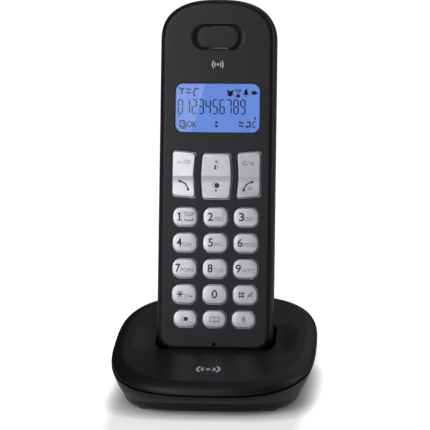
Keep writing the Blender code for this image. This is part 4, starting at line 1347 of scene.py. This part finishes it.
def list_sign():
    """Two sheets of paper, the upper one written on, at the lower left."""
    shapes = strokes(spots((5, 77), (10.5, 77), (10.5, 90), (5, 90)), LINE, True)
    shapes += strokes(spots((6.5, 93), (12.5, 93), (12.5, 80)), LINE * 0.8)
    for down in (80.5, 83.5, 86.5):
        shapes += strokes(spots((6.3, down), (9.3, down)), 0.2 * MM)
    return shapes


def scroll_arrows():
    """Arrowheads up and down, in the middle of the last row."""
    return [spots((46.6, 82.5), (51.4, 82.5), (49, 77)), spots((46.6, 86), (49, 91.5), (51.4, 86))]


def return_sign():
    """Two waves and a bent arrow, at the lower right."""
    shapes = []
    for down in (81, 88):
        shapes += strokes(spots((76, down), (77.5, down - 2.5), (79.5, down + 1), (81.5, down - 1.5)))
    shapes += strokes(spots((85.5, 79), (89.3, 79), (89.3, 89), (84.5, 89)))
    return shapes + [spots((84, 89), (86.2, 85), (86.2, 93))]


def crystal_marks(top):
    """Everything the display shows: status signs, a row of digits and the soft-key row."""
    shapes = (digit_row() + signal_signs() + alarm_sign() + message_sign() + lock_sign() + bell_sign()
              + battery_sign() + side_arrows() + list_sign() + scroll_arrows() + return_sign())
    marks = [print_shape(shape, top) for shape in shapes]
    for word, left, right in (("OK", 14, 24.5), ("C", 91.8, 95.8)):
        x, z = spot(left, 91)
        marks.append(lettering(word, x, z, (right - left) * WINDOW_WIDTH / 100,
                               14 * WINDOW_HEIGHT / 100, top, DARK, 0.012))
    legend("display_segments", "handset", marks, [SEGMENT])


def wave_mark(name, body, x, z, size, place):
    """A plain radio sign: a dot between two pairs of arcs, as on any cordless device."""
    shapes = [circle(0.16 * size, x, z, 20)]
    for radius in (0.42, 0.74):
        for middle in (0, 180):
            shapes.append(ribbon(arc(radius * size, x, z, middle - 42, middle + 42, 14), 0.15 * size))
    legend(name, body, [print_shape(shape, 0) for shape in shapes], [PALE_INK], place)


# ---------------------------------------------------------------- base

def well_outline(grow):
    """The handset's section across its length: x, then depth."""
    return rounded(2 * (HALF_WIDTH + grow), THICKNESS + 2 * grow, 5.5 * MM + grow, 0, THICKNESS / 2)


def screw_places():
    """The four screw centres in plan."""
    names = ["base_screw_front_left", "base_screw_front_right", "base_screw_rear_left",
             "base_screw_rear_right"]
    return [middle_of(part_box(name))[:2] for name in names]


def cover_hollow():
    """The room inside the top cover, less the tub for the handset and the screw bosses."""
    rings = [base_ring(2 * SHELL, lambda y: 5 * MM), base_ring(SHELL, seam(-1 * MM)),
             base_ring(SHELL + 0.3 * MM, seam(0.6 * MM)),
             base_ring(CREST_INSET + 3 * MM, crest(-4.2 * MM))]
    hollow = skin("hollow", rings)
    tub = stepped("tub", lambda grow: well_outline(WELL_GAP + SHELL),
                  [(0, WELL_FLOOR - SHELL), (0, CLEAR_ABOVE)], "Z")
    cut(hollow, lean_back(tub))
    for x, y in screw_places():
        cut(hollow, rod("boss", (x, y, 0), BOSS, 80 * MM, "Z"))
    return hollow


DISH_DEPTHS = (                      # y, then how far the dish lies below the crest's plane
    (-60 * MM, -6.1 * MM), (-21.3 * MM, 0.0), (-9.5 * MM, 1.85 * MM), (-4.5 * MM, 1.95 * MM),
    (10 * MM, 1.1 * MM), (17 * MM, -0.1 * MM), (60 * MM, -6 * MM))
DISH_RIM = 0.9 * MM                  # from the crest in to where the dish starts
DISH_SIDE = 11 * MM                  # how far in from there its sides reach full depth
DISH_LIP = 0.12 * MM                 # how far above the crest the cutter starts at its rim
DISH_TOP = 70 * MM
DISH_STEPS = (0, 1.5, 3, 4.5, 6, 7.5, 9, 11, 15, 20, 25, 30, 34, 36.2)    # its rings, in mm inwards


def dish_depth(y):
    """How deep the middle of the dish lies at y."""
    for (low_y, low), (high_y, high) in zip(DISH_DEPTHS, DISH_DEPTHS[1:]):
        if y <= high_y:
            break
    return low + (high - low) * (y - low_y) / (high_y - low_y)


def make_dish():
    """The cutter for the dish in front of and beside the handset: level, with soft sides."""
    rings = [base_ring(CREST_INSET + DISH_RIM - 0.1 * MM, lambda y: DISH_TOP)]
    for inset in DISH_STEPS:
        t = min(1, inset * MM / DISH_SIDE)
        share = t * t * (3 - 2 * t)
        rings.append(base_ring(CREST_INSET + DISH_RIM + inset * MM,
                               lambda y: crest(DISH_LIP * (1 - share))(y) - share * dish_depth(y)))
    return skin("dish", rings)


def make_top_cover():
    """The tilted upper shell: a rounded band up to the crest, the dish and the tub in it."""
    profile = [(0.13, 0.0), (0.3, 0.15 * MM), (0.5, 0.65 * MM), (0.72, 1.75 * MM), (0.88, 3.05 * MM),
               (0.985, 4.35 * MM)]
    rings = [base_ring(5 * MM, lambda y: BOSS_BOTTOM), base_ring(5 * MM, seam(0)),
             base_ring(0.7 * MM, seam(0)), base_ring(0.62 * MM, seam(0.08 * MM)),
             base_ring(0.6 * MM, seam(0.3 * MM)), base_ring(0.2 * MM, seam(0.36 * MM)),
             base_ring(0.04 * MM, seam(0.5 * MM))]
    rings += [base_ring(inset, band(share)) for share, inset in eased_path(profile, 3)]
    rings += [base_ring(CREST_INSET, crest(-0.01 * MM)),
              base_ring(CREST_INSET + 0.3 * MM, crest(0))]
    cover = skin("top_cover_shell", rings)
    cut(cover, cover_hollow())
    cut(cover, make_dish())
    well = stepped("well", lambda grow: well_outline(WELL_GAP + grow),
                   [(0, WELL_FLOOR), (0, CLEAR_ABOVE)], "Z")
    cut(cover, lean_back(well))
    spring_x, spring_y, _ = middle_of(upright_box("contact_spring_right"))
    for side in (-1, 1):
        cut(cover, lean_back(block(
            "contact_slot", (side * spring_x - 2 * MM, spring_y - 3.2 * MM, WELL_FLOOR - 5 * MM),
            (side * spring_x + 2 * MM, spring_y + 3.2 * MM, WELL_FLOOR + MM))))
    for x, y in screw_places():
        cut(cover, rod("bore", (x, y, BOSS_BOTTOM), 1.4 * MM, 12 * MM, "Z", 24))
    smooth(cover, 30)
    put(cover, "base", "base_plastic", BASE_BLACK, "base_top_cover")


def swollen_ring(upper, lower, share):
    """A ring between two others that swells outwards a little."""
    bulge = 0.35 * MM * math.sin(math.pi * share)
    return [(x + (foot_x - x) * share + bulge * (x / BASE_HALF_WIDTH),
             y + (foot_y - y) * share + bulge * (y / BASE_HALF_DEPTH),
             z + (foot_z - z) * share)
            for (x, y, z), (foot_x, foot_y, foot_z) in zip(upper, lower)]


def make_bottom_shell():
    """The flared lower shell with its posts, windows for the sockets and recesses beneath."""
    upper, lower = base_ring(0.4 * MM, seam(-1.7 * MM)), foot_ring(-0.6 * MM, UNDERSIDE + 3 * MM)
    rings = [foot_ring(4 * MM, UNDERSIDE + SHELL), foot_ring(SHELL, UNDERSIDE + SHELL + 1.5 * MM),
             base_ring(SHELL, seam(-GAP)), base_ring(0.35 * MM, seam(-GAP)),
             base_ring(0.1 * MM, seam(-GAP - 0.1 * MM)), base_ring(0.02 * MM, seam(-GAP - 0.35 * MM)),
             base_ring(0.12 * MM, seam(-1.0 * MM)), upper]
    rings += [swollen_ring(upper, lower, share) for share in (0.25, 0.5, 0.75)]
    rings += [lower, foot_ring(-0.35 * MM, UNDERSIDE + 1.9 * MM),
              foot_ring(0.15 * MM, UNDERSIDE + 0.9 * MM), foot_ring(0.8 * MM, UNDERSIDE + 0.25 * MM),
              foot_ring(1.6 * MM, UNDERSIDE)]
    shell = skin("bottom_shell", rings)
    top = BOSS_BOTTOM - GAP
    middle = (top + UNDERSIDE) / 2 + 0.5 * MM
    for x, y in screw_places():
        cut(shell, rod("post", (x, y, middle), 3.6 * MM, 2 * (top - middle), "Z"), "UNION")
    board_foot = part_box("base_board")[0].z
    for x, y in ((x * MM, y * MM) for x in (-17, 17) for y in (-8, 30)):
        cut(shell, rod("stud", (x, y, board_foot / 2 + 0.5 * MM), 2 * MM, board_foot - 2 * GAP - MM,
                       "Z", 20), "UNION")
    for x, y in screw_places():
        cut(shell, rod("screw_recess", (x, y, UNDERSIDE), 2.7 * MM, 4.8 * MM, "Z"))
        cut(shell, rod("screw_bore", (x, y, BOSS_BOTTOM), 1.5 * MM, 2 * THROUGH, "Z", 24))
    for name in FEET:
        x, y, _ = middle_of(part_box(name))
        cut(shell, rod("foot_recess", (x, y, UNDERSIDE), 4.3 * MM, 2.4 * MM, "Z"))
    for name in ("line_jack", "power_jack"):
        low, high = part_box(name)
        cut(shell, block("jack_window", [c - GAP for c in low],
                         [high.x + GAP, high.y + 6.3 * MM, high.z + GAP]))
    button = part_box("page_button")
    x, _, z = middle_of(button)
    cut(shell, rod("button_hole", (x, button[0].y + 4 * MM, z), 4.3 * MM, THROUGH, "Y"))
    smooth(shell, 30)
    put(shell, "base", "base_plastic", BASE_BLACK, "base_bottom_shell")


def make_feet():
    """Rubber feet with a rounded lower edge and a shallow dimple."""
    low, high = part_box(FEET[0])
    radius, top = (high.x - low.x) / 2, high.z
    x, y, _ = middle_of((low, high))
    stations = [(0, top), (0, low.z + 0.35 * MM), (-0.1 * MM, low.z + 0.1 * MM),
                (-0.35 * MM, low.z), (-1.2 * MM, low.z), (-1.6 * MM, low.z + 0.2 * MM),
                (-2.4 * MM, low.z + 0.3 * MM)]
    first = stepped("rubber_" + FEET[0], lambda grow: circle(radius + grow, x, y), stations, "Z")
    smooth(first, 40, False)
    pieces = [first]
    for name in FEET[1:]:
        other_low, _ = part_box(name)
        only(first)
        bpy.ops.object.duplicate()
        piece = named(bpy.context.object, "rubber_" + name)
        piece.data.transform(Matrix.Translation(other_low - low))
        pieces.append(piece)
    for name, piece in zip(FEET, pieces):
        put(piece, "base", "rubber", RUBBER, name)


LINE_SOCKET_MOUTH = (                # half width, depth, bottom and top from the centre, in mm
    ("mouth", 4.9, 10, -3.4, 2.0), ("latch", 3.0, 9, 1.5, 3.0), ("latch_slot", 1.6, 8, 2.5, 3.8))
WIRE_PATH = ((1.6, -2.9), (2.4, -2.2), (8.5, -0.4), (9.8, -0.4))    # in from the mouth, height, in mm


def make_line_socket():
    """The telephone socket with its stepped mouth, and its four contact wires."""
    low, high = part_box("line_jack")
    x, _, z = middle_of((low, high))
    jack = eased(block("line_socket_body", low, high), 0.25 * MM)
    for name, half, depth, foot, head in LINE_SOCKET_MOUTH:
        cut(jack, block(name, (x - half * MM, high.y - depth * MM, z + foot * MM),
                        (x + half * MM, high.y + MM, z + head * MM)))
    smooth(jack, 30)
    put(jack, "base", "base_plastic", BASE_BLACK, "line_jack")
    wires = []
    for k in range(4):
        wire_x = x + (k - 1.5) * 1.3 * MM
        wires.append(skin("wire", [[(wire_x + dx * 0.2 * MM, high.y - depth * MM,
                                     z + level * MM + dz * 0.2 * MM)
                                    for dx, dz in ((1, 1), (-1, 1), (-1, -1), (1, -1))]
                                   for depth, level in WIRE_PATH]))
    contacts = smooth(joined("line_contacts", wires), 30, False)
    put(contacts, "base", "nickel", NICKEL)


def make_power_socket():
    """The round power socket and its pin."""
    low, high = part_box("power_jack")
    x, _, z = middle_of((low, high))
    jack = eased(block("power_socket_body", low, high), 0.25 * MM)
    cut(jack, stepped("mouth", lambda grow: circle(3.1 * MM + grow, x, z), [
        (0, high.y - 9 * MM), (0, high.y - 0.4 * MM), (0.35 * MM, high.y), (0.35 * MM, high.y + MM)]))
    smooth(jack, 30)
    put(jack, "base", "base_plastic", BASE_BLACK, "power_jack")
    pin = stepped("power_pin", lambda grow: circle(0.95 * MM + grow, x, z, 24), [
        (0, high.y - 9.2 * MM), (0, high.y - 1.5 * MM), (-0.25 * MM, high.y - 1.15 * MM),
        (-0.6 * MM, high.y - MM)])
    smooth(pin, 40, False)
    put(pin, "base", "nickel", NICKEL)


def make_page_button():
    """The round paging button with a crowned face."""
    low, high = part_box("page_button")
    x, _, z = middle_of((low, high))
    collar, cap = (high.z - low.z) / 2, 4.0 * MM
    stations = [(collar - cap, low.y), (collar - cap, low.y + 1.6 * MM), (0, low.y + 1.6 * MM),
                (0, high.y - 0.5 * MM), (-0.12 * MM, high.y - 0.2 * MM),
                (-0.4 * MM, high.y - 0.05 * MM), (-0.8 * MM, high.y), (-1.5 * MM, high.y - 0.1 * MM),
                (-2.6 * MM, high.y - 0.2 * MM)]
    button = stepped("page_button_cap", lambda grow: circle(cap + grow, x, z, 40), stations)
    smooth(button, 40, False)
    put(button, "page_button", "silver_key", SILVER, "page_button")


# ---------------------------------------------------------------- pieces kept from the frame

KEPT = (
    (BOARD, ("handset_board", "base_board")),
    (RUBBER, ("keypad_mat",)),
    (NICKEL, ("charge_plate_left", "charge_plate_right", "cell_spring_left", "cell_spring_right",
              "cell_bridge", "contact_spring_left", "contact_spring_right")),
    (SPEAKER, ("earpiece_speaker", "ringer_speaker", "microphone")),
    (CELL, ("cell_left", "cell_right")),
    (STEEL, ("handset_screw_left", "handset_screw_right", "base_screw_front_left",
             "base_screw_front_right", "base_screw_rear_left", "base_screw_rear_right")))


def finish_kept_nodes():
    """Materials for the pieces that stay as the frame has them."""
    for finish, names in KEPT:
        for name in names:
            materials = NODES[name].data.materials
            if not materials:
                materials.append(finish)
            for k in range(len(materials)):
                materials[k] = finish


# ---------------------------------------------------------------- studio

FLOOR_PAINTED_SHADE = (41 * MM, 150 * MM)     # half width and depth of the painted shade and reflection that dim the floor's glow near the base
FLOOR_PAINTED_SHADE_EDGE = (0.6, 1.2)         # where that painted shade starts to brighten, and where the floor is white
# how bright the floor glows inside the painted shade and reflection, and far from the base where it is
# evenly white
FLOOR_PAINTED_SHADE_GLOW = 0.50
FLOOR_GLOW_FAR = 1.0
FLOOR_PAINTED_CONTACT_SHADOW = (36 * MM, 50.5 * MM)    # half width and depth of the painted contact shadow, darkest at the base's foot
# where the painted contact shadow is darkest and where it has faded, and how dim the floor's glow is
# at its darkest
FLOOR_PAINTED_CONTACT_SHADOW_EDGE = (0.9, 2.6)
FLOOR_PAINTED_CONTACT_SHADOW_GLOW = 0.12
FLOOR_BOUNCE = 0.12                  # how much light the floor sends back to the object
FRONT_LEVEL = 0.09                   # how bright the room is in front of the object,
BACK_LEVEL = 0.012                   # behind it at the horizon,
BACK_LEFT_LEVEL = 0.035              # and above the horizon behind it, left and right
BACK_RIGHT_LEVEL = 0.34
BACKDROP_LEVEL = 1.1                 # the white that the camera sees
LAMP_COLOUR = (0.975, 0.975, 1.0)

MAIN_RADIANCE = 2.05                 # the main soft box: how bright it is,
MAIN_WIDTH = 0.42                    # its sides,
MAIN_LENGTH = 0.44
MAIN_REACH = 0.35                    # how far it stands from the window,
MAIN_RAISED = 0.09                   # how far it is slid up along its edge,
MAIN_TILT = math.radians(14.2)       # how far that edge slants,
MAIN_EDGE_SHIFT = 14.5 * MM          # and how far left of the window's middle it shows

CAMERA_AZIMUTH = math.radians(4.5)
CAMERA_ELEVATION = math.radians(8.39)
CAMERA_DISTANCE = 998.3 * MM
CAMERA_AIM = (-0.28 * MM, 0, 72.56 * MM)
CAMERA_LENS = 202.5
CAMERA_SENSOR = 36


def multiplied(tree, first, second):
    """The product of two values."""
    made = node(tree, "Math", operation="MULTIPLY")
    tree.links.new(first, made.inputs[0])
    tree.links.new(second, made.inputs[1])
    return made.outputs["Value"]


def oval_distance(tree, reach):
    """One on a squarish oval with the given half width and half depth, less inside it."""
    parts = node(tree, "SeparateXYZ")
    tree.links.new(place_of(tree, (1 / reach[0], 1 / reach[1], 1)), parts.inputs["Vector"])
    total = node(tree, "Math", operation="ADD")
    for k, axis in enumerate(("X", "Y")):
        square = multiplied(tree, parts.outputs[axis], parts.outputs[axis])
        tree.links.new(multiplied(tree, square, square), total.inputs[k])
    return total.outputs["Value"]


def make_floor():
    """A white floor, self-lit away from the object so that it meets the backdrop evenly; nearer the
    base its glow is dimmed as painted shade and reflection of the base, with a painted contact shadow
    at its foot.
    """
    bpy.ops.object.select_all(action="DESELECT")
    bpy.ops.mesh.primitive_plane_add(size=8)
    floor = named(bpy.context.object, "studio_floor")
    paint = new_material("studio floor", (0.9, 0.9, 0.9), 0.16)
    tree = paint.node_tree
    # painted shade and reflection: the floor glows less near and in front of the base
    painted_shade_level = ranged(tree, oval_distance(tree, FLOOR_PAINTED_SHADE), FLOOR_PAINTED_SHADE_GLOW, FLOOR_GLOW_FAR,
                    *FLOOR_PAINTED_SHADE_EDGE)
    # painted contact shadow: the glow drops further at the base's foot
    contact = ranged(tree, oval_distance(tree, FLOOR_PAINTED_CONTACT_SHADOW), FLOOR_PAINTED_CONTACT_SHADOW_GLOW, 1.0,
                     *FLOOR_PAINTED_CONTACT_SHADOW_EDGE)
    seen = node(tree, "LightPath")
    level = node(tree, "Mix", data_type="FLOAT")
    level.inputs["A"].default_value = FLOOR_BOUNCE
    tree.links.new(seen.outputs["Is Camera Ray"], level.inputs["Factor"])
    tree.links.new(multiplied(tree, painted_shade_level, contact), level.inputs["B"])
    tree.nodes["Principled BSDF"].inputs["Emission Color"].default_value = (1, 1, 1, 1)
    wire(paint, "Emission Strength", level.outputs["Result"])
    floor.data.materials.append(paint)


def camera_direction():
    """From the object towards the camera."""
    level = math.cos(CAMERA_ELEVATION)
    return Vector((math.sin(CAMERA_AZIMUTH) * level, -math.cos(CAMERA_AZIMUTH) * level,
                   math.sin(CAMERA_ELEVATION)))


def facing(place, aim):
    """How a lamp at a place is turned to shine on its aim."""
    turn = (Vector(aim) - Vector(place)).to_track_quat("-Z", "Y").to_matrix().to_4x4()
    return Matrix.Translation(place) @ turn


def area_light(name, matrix, width, height, radiance):
    """A soft box whose face shines with the given radiance."""
    light = bpy.data.lights.new(name, "AREA")
    light.shape = "RECTANGLE"
    light.size, light.size_y = width, height
    light.energy = radiance * math.pi * width * height
    light.color = LAMP_COLOUR
    lamp = bpy.data.objects.new(name, light)
    bpy.context.scene.collection.objects.link(lamp)
    lamp.matrix_world = matrix
    lamp.visible_camera = False


def make_world():
    """White to the camera; for light and reflections dim, and darkest behind on the left."""
    world = bpy.data.worlds.new("studio")
    bpy.context.scene.world = world
    world.use_nodes = True
    tree = world.node_tree
    tree.nodes.clear()
    coordinates = node(tree, "TexCoord")
    parts = node(tree, "SeparateXYZ")
    tree.links.new(coordinates.outputs["Generated"], parts.inputs["Vector"])
    in_front = ranged(tree, parts.outputs["Y"], 1.0, 0.0, -0.25, 0.35)
    raised = ranged(tree, parts.outputs["Z"], 0.0, 1.0, 0.2, 0.42)
    to_right = ranged(tree, parts.outputs["X"], BACK_LEFT_LEVEL, BACK_RIGHT_LEVEL, -0.25, 0.12)
    behind = node(tree, "Mix", data_type="FLOAT")
    behind.inputs["A"].default_value = BACK_LEVEL
    tree.links.new(raised, behind.inputs["Factor"])
    tree.links.new(to_right, behind.inputs["B"])
    level = node(tree, "Mix", data_type="FLOAT")
    tree.links.new(in_front, level.inputs["Factor"])
    tree.links.new(behind.outputs["Result"], level.inputs["A"])
    level.inputs["B"].default_value = FRONT_LEVEL
    soft = node(tree, "Background")
    soft.inputs["Color"].default_value = (*LAMP_COLOUR, 1)
    tree.links.new(level.outputs["Result"], soft.inputs["Strength"])
    white = node(tree, "Background", Strength=BACKDROP_LEVEL)
    white.inputs["Color"].default_value = (1, 1, 1, 1)
    seen = node(tree, "LightPath")
    mixed = node(tree, "MixShader")
    output = node(tree, "OutputWorld")
    tree.links.new(seen.outputs["Is Camera Ray"], mixed.inputs["Fac"])
    tree.links.new(soft.outputs["Background"], mixed.inputs[1])
    tree.links.new(white.outputs["Background"], mixed.inputs[2])
    tree.links.new(mixed.outputs["Shader"], output.inputs["Surface"])


def make_main_light():
    """The main soft box, whose slanting right edge shows as a gloss line on the window."""
    low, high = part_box("window_lens")
    centre = (low + high) / 2
    to_camera = camera_direction()
    normal = (HANDSET.to_3x3() @ Vector((0, -1, 0))).normalized()
    mirrored = 2 * normal.dot(to_camera) * normal - to_camera
    right = Vector((0, 0, 1)).cross(mirrored).normalized()
    up = mirrored.cross(right)
    across = right * math.cos(MAIN_TILT) - up * math.sin(MAIN_TILT)
    along = up * math.cos(MAIN_TILT) + right * math.sin(MAIN_TILT)
    edge = centre + mirrored * MAIN_REACH - right * MAIN_EDGE_SHIFT
    place = edge - across * MAIN_WIDTH / 2 + along * MAIN_RAISED
    turn = Matrix((across, along, mirrored)).transposed().to_4x4()
    area_light("key_softbox", Matrix.Translation(place) @ turn, MAIN_WIDTH, MAIN_LENGTH,
               MAIN_RADIANCE)


LAMPS = (
    # name, place, aim, width, height, radiance
    ("overhead_softbox", (0.0, 0.0, 0.8), (0, 0, 0), 1.0, 0.8, 0.12),
    ("right_strip", (0.55, 0.16, 0.24), (0, 0, 0.1), 0.12, 0.4, 2.2),
    ("low_softbox", (-0.04, -0.6, 0.132), (0.0, 0.0, 0.03), 0.55, 0.08, 1.6))


def make_lights():
    """The main soft box, then one overhead, a strip on the right and a low one in front."""
    make_main_light()
    for name, place, aim, width, height, radiance in LAMPS:
        area_light(name, facing(place, aim), width, height, radiance)


def make_camera():
    """A long lens, a little to the right of the object and a little above it."""
    back = camera_direction()
    lens = bpy.data.cameras.new("camera")
    lens.lens = CAMERA_LENS
    lens.sensor_width = CAMERA_SENSOR
    lens.clip_start, lens.clip_end = 0.05, 20
    camera = bpy.data.objects.new("camera", lens)
    bpy.context.scene.collection.objects.link(camera)
    camera.location = Vector(CAMERA_AIM) + back * CAMERA_DISTANCE
    camera.rotation_euler = (-back).to_track_quat("-Z", "Y").to_euler()
    bpy.context.scene.camera = camera


def make_marks():
    """The small radio signs on the handset and the base."""
    wave_mark("handset_radio_mark", "handset", 0, 105.5 * MM, 3.0 * MM, HANDSET)
    y = -38 * MM
    lie = (Matrix.Translation((0, y, crest(0)(y)))
           @ Matrix.Rotation(math.atan(CREST_SLOPE) - math.pi / 2, 4, "X"))
    wave_mark("base_radio_mark", "base", 0, 0, 6.0 * MM, lie)


def main():
    bpy.context.scene.view_settings.view_transform = "Standard"
    make_small_keys()
    for name in ROCKERS:
        make_rocker(name)
    make_rocker_legends()
    make_front_cover()
    make_earpiece()
    make_rear_cover()
    make_battery_door()
    make_window()
    make_display()
    make_top_cover()
    make_bottom_shell()
    make_feet()
    make_line_socket()
    make_power_socket()
    make_page_button()
    make_marks()
    finish_kept_nodes()
    make_floor()
    make_world()
    make_lights()
    make_camera()


main()
